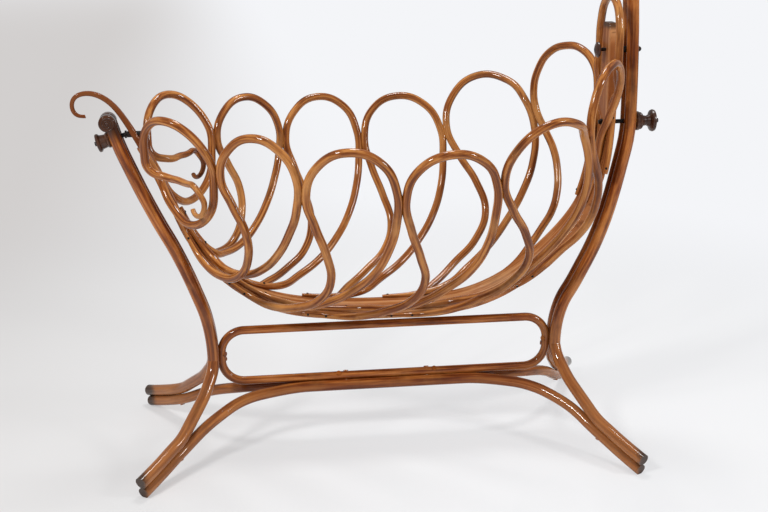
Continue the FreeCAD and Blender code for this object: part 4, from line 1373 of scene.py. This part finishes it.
@dataclass(frozen=True)
class Studio:
    """A pale floor, soft lamps and the camera."""

    floor_reach: float = 24.0
    floor_facets: int = 96
    floor_shade: Shade = Shade(232, 232, 232)
    backdrop: Shade = Shade(244, 245, 248)
    shaded: Shade = Shade(210, 207, 206)
    shaded_side: Pair = (0.35, -1.30)
    shaded_reach: Pair = (23.0, 8.0)
    far_reach: Pair = (1.0, 2.6)
    sky_strength: float = 0.42
    shown_share: float = 0.55
    aim: Triple = (0.0, 0.0, 0.55)
    lamps: tuple[Lamp, ...] = (
        Lamp("key", (-2.4, -2.2, 3.0), 0.6, 82.0),
        Lamp("fill", (2.8, -1.6, 2.0), 0.55, 38.0),
        Lamp("top", (0.2, 0.8, 3.6), 0.8, 48.0),
    )
    camera_spot: Triple = (-0.3775, -2.795, 1.290)
    camera_pitch: float = 16.50
    camera_yaw: float = 8.15
    lens: float = 58.64
    sensor: float = 36.0
    sight: float = 200.0

    def shown(self, sheet: NodeSheet) -> Socket:
        """A mask of the rays that show the studio itself: camera and transmission rays."""
        path = sheet.add("ShaderNodeLightPath")
        return sheet.reckon("ADD", path.outputs["Is Camera Ray"], path.outputs["Is Transmission Ray"])

    def lay_floor(self) -> None:
        """Adds the floor, which keeps the cradle's soft shadow."""
        clear_selection()
        bpy.ops.mesh.primitive_circle_add(vertices=self.floor_facets, radius=self.floor_reach,
                                          fill_type="NGON")
        floor = bpy.context.object
        floor.name = "studio_floor"
        material = bpy.data.materials.new("studio_floor")
        material.use_nodes = True
        sheet = NodeSheet(material.node_tree)
        matt = sheet.add("ShaderNodeBsdfDiffuse")
        matt.inputs["Color"].default_value = self.floor_shade.light()
        place = sheet.add("ShaderNodeTexCoord").outputs["Object"]
        away = sheet.add("ShaderNodeVectorMath", operation="LENGTH")
        sheet.feed(away.inputs[0], place)
        near = sheet.spread(away.outputs["Value"], self.shaded_reach)
        side = sheet.spread(sheet.axis(place, AXIS_X), self.shaded_side)
        dim = sheet.reckon("MULTIPLY", side, near)
        glow = sheet.add("ShaderNodeEmission")
        sheet.feed(glow.inputs["Color"], sheet.mixed(dim, self.backdrop.light(), self.shaded.light()))
        share = sheet.spread(away.outputs["Value"], self.far_reach, (self.shown_share, 1))
        mix = sheet.add("ShaderNodeMixShader")
        sheet.feed(mix.inputs[0], sheet.reckon("MULTIPLY", self.shown(sheet), share))
        sheet.feed(mix.inputs[1], matt.outputs[0])
        sheet.feed(mix.inputs[2], glow.outputs[0])
        output = sheet.add("ShaderNodeOutputMaterial")
        sheet.feed(output.inputs["Surface"], mix.outputs[0])
        floor.data.materials.append(material)

    def paint_sky(self) -> None:
        """Sets the world: soft white light, shown as the pale backdrop."""
        world = bpy.context.scene.world or bpy.data.worlds.new("studio")
        bpy.context.scene.world = world
        world.use_nodes = True
        sheet = NodeSheet(world.node_tree)
        sky = sheet.add("ShaderNodeBackground")
        sky.inputs["Color"].default_value = WHITE
        sky.inputs["Strength"].default_value = self.sky_strength
        wall = sheet.add("ShaderNodeBackground")
        wall.inputs["Color"].default_value = self.backdrop.light()
        mix = sheet.add("ShaderNodeMixShader")
        sheet.feed(mix.inputs[0], self.shown(sheet))
        sheet.feed(mix.inputs[1], sky.outputs[0])
        sheet.feed(mix.inputs[2], wall.outputs[0])
        output = sheet.add("ShaderNodeOutputWorld")
        sheet.feed(output.inputs["Surface"], mix.outputs[0])

    def set_camera(self) -> None:
        """Adds the camera at the place it was worked out to have."""
        clear_selection()
        turn = (math.radians(90 - self.camera_pitch), 0, -math.radians(self.camera_yaw))
        bpy.ops.object.camera_add(location=self.camera_spot, rotation=turn)
        camera = bpy.context.object
        camera.data.lens = self.lens
        camera.data.sensor_width = self.sensor
        camera.data.clip_end = self.sight
        bpy.context.scene.camera = camera

    def build(self) -> None:
        """Sets the whole studio."""
        self.lay_floor()
        self.paint_sky()
        for lamp in self.lamps:
            lamp.hang(Vector(self.aim))
        self.set_camera()
        bpy.context.scene.view_settings.view_transform = "Standard"
        log.info("studio: set")


def main() -> None:
    """Builds and dresses the sub-assemblies in order, then the studio."""
    logging.basicConfig(level=logging.INFO, format="%(message)s")
    stand = Stand()
    stand.build()
    stand.dress()
    basket = Basket()
    basket.build()
    basket.dress()
    SwingLock().dress()
    Studio().build()


if __name__ == "__main__":
    main()
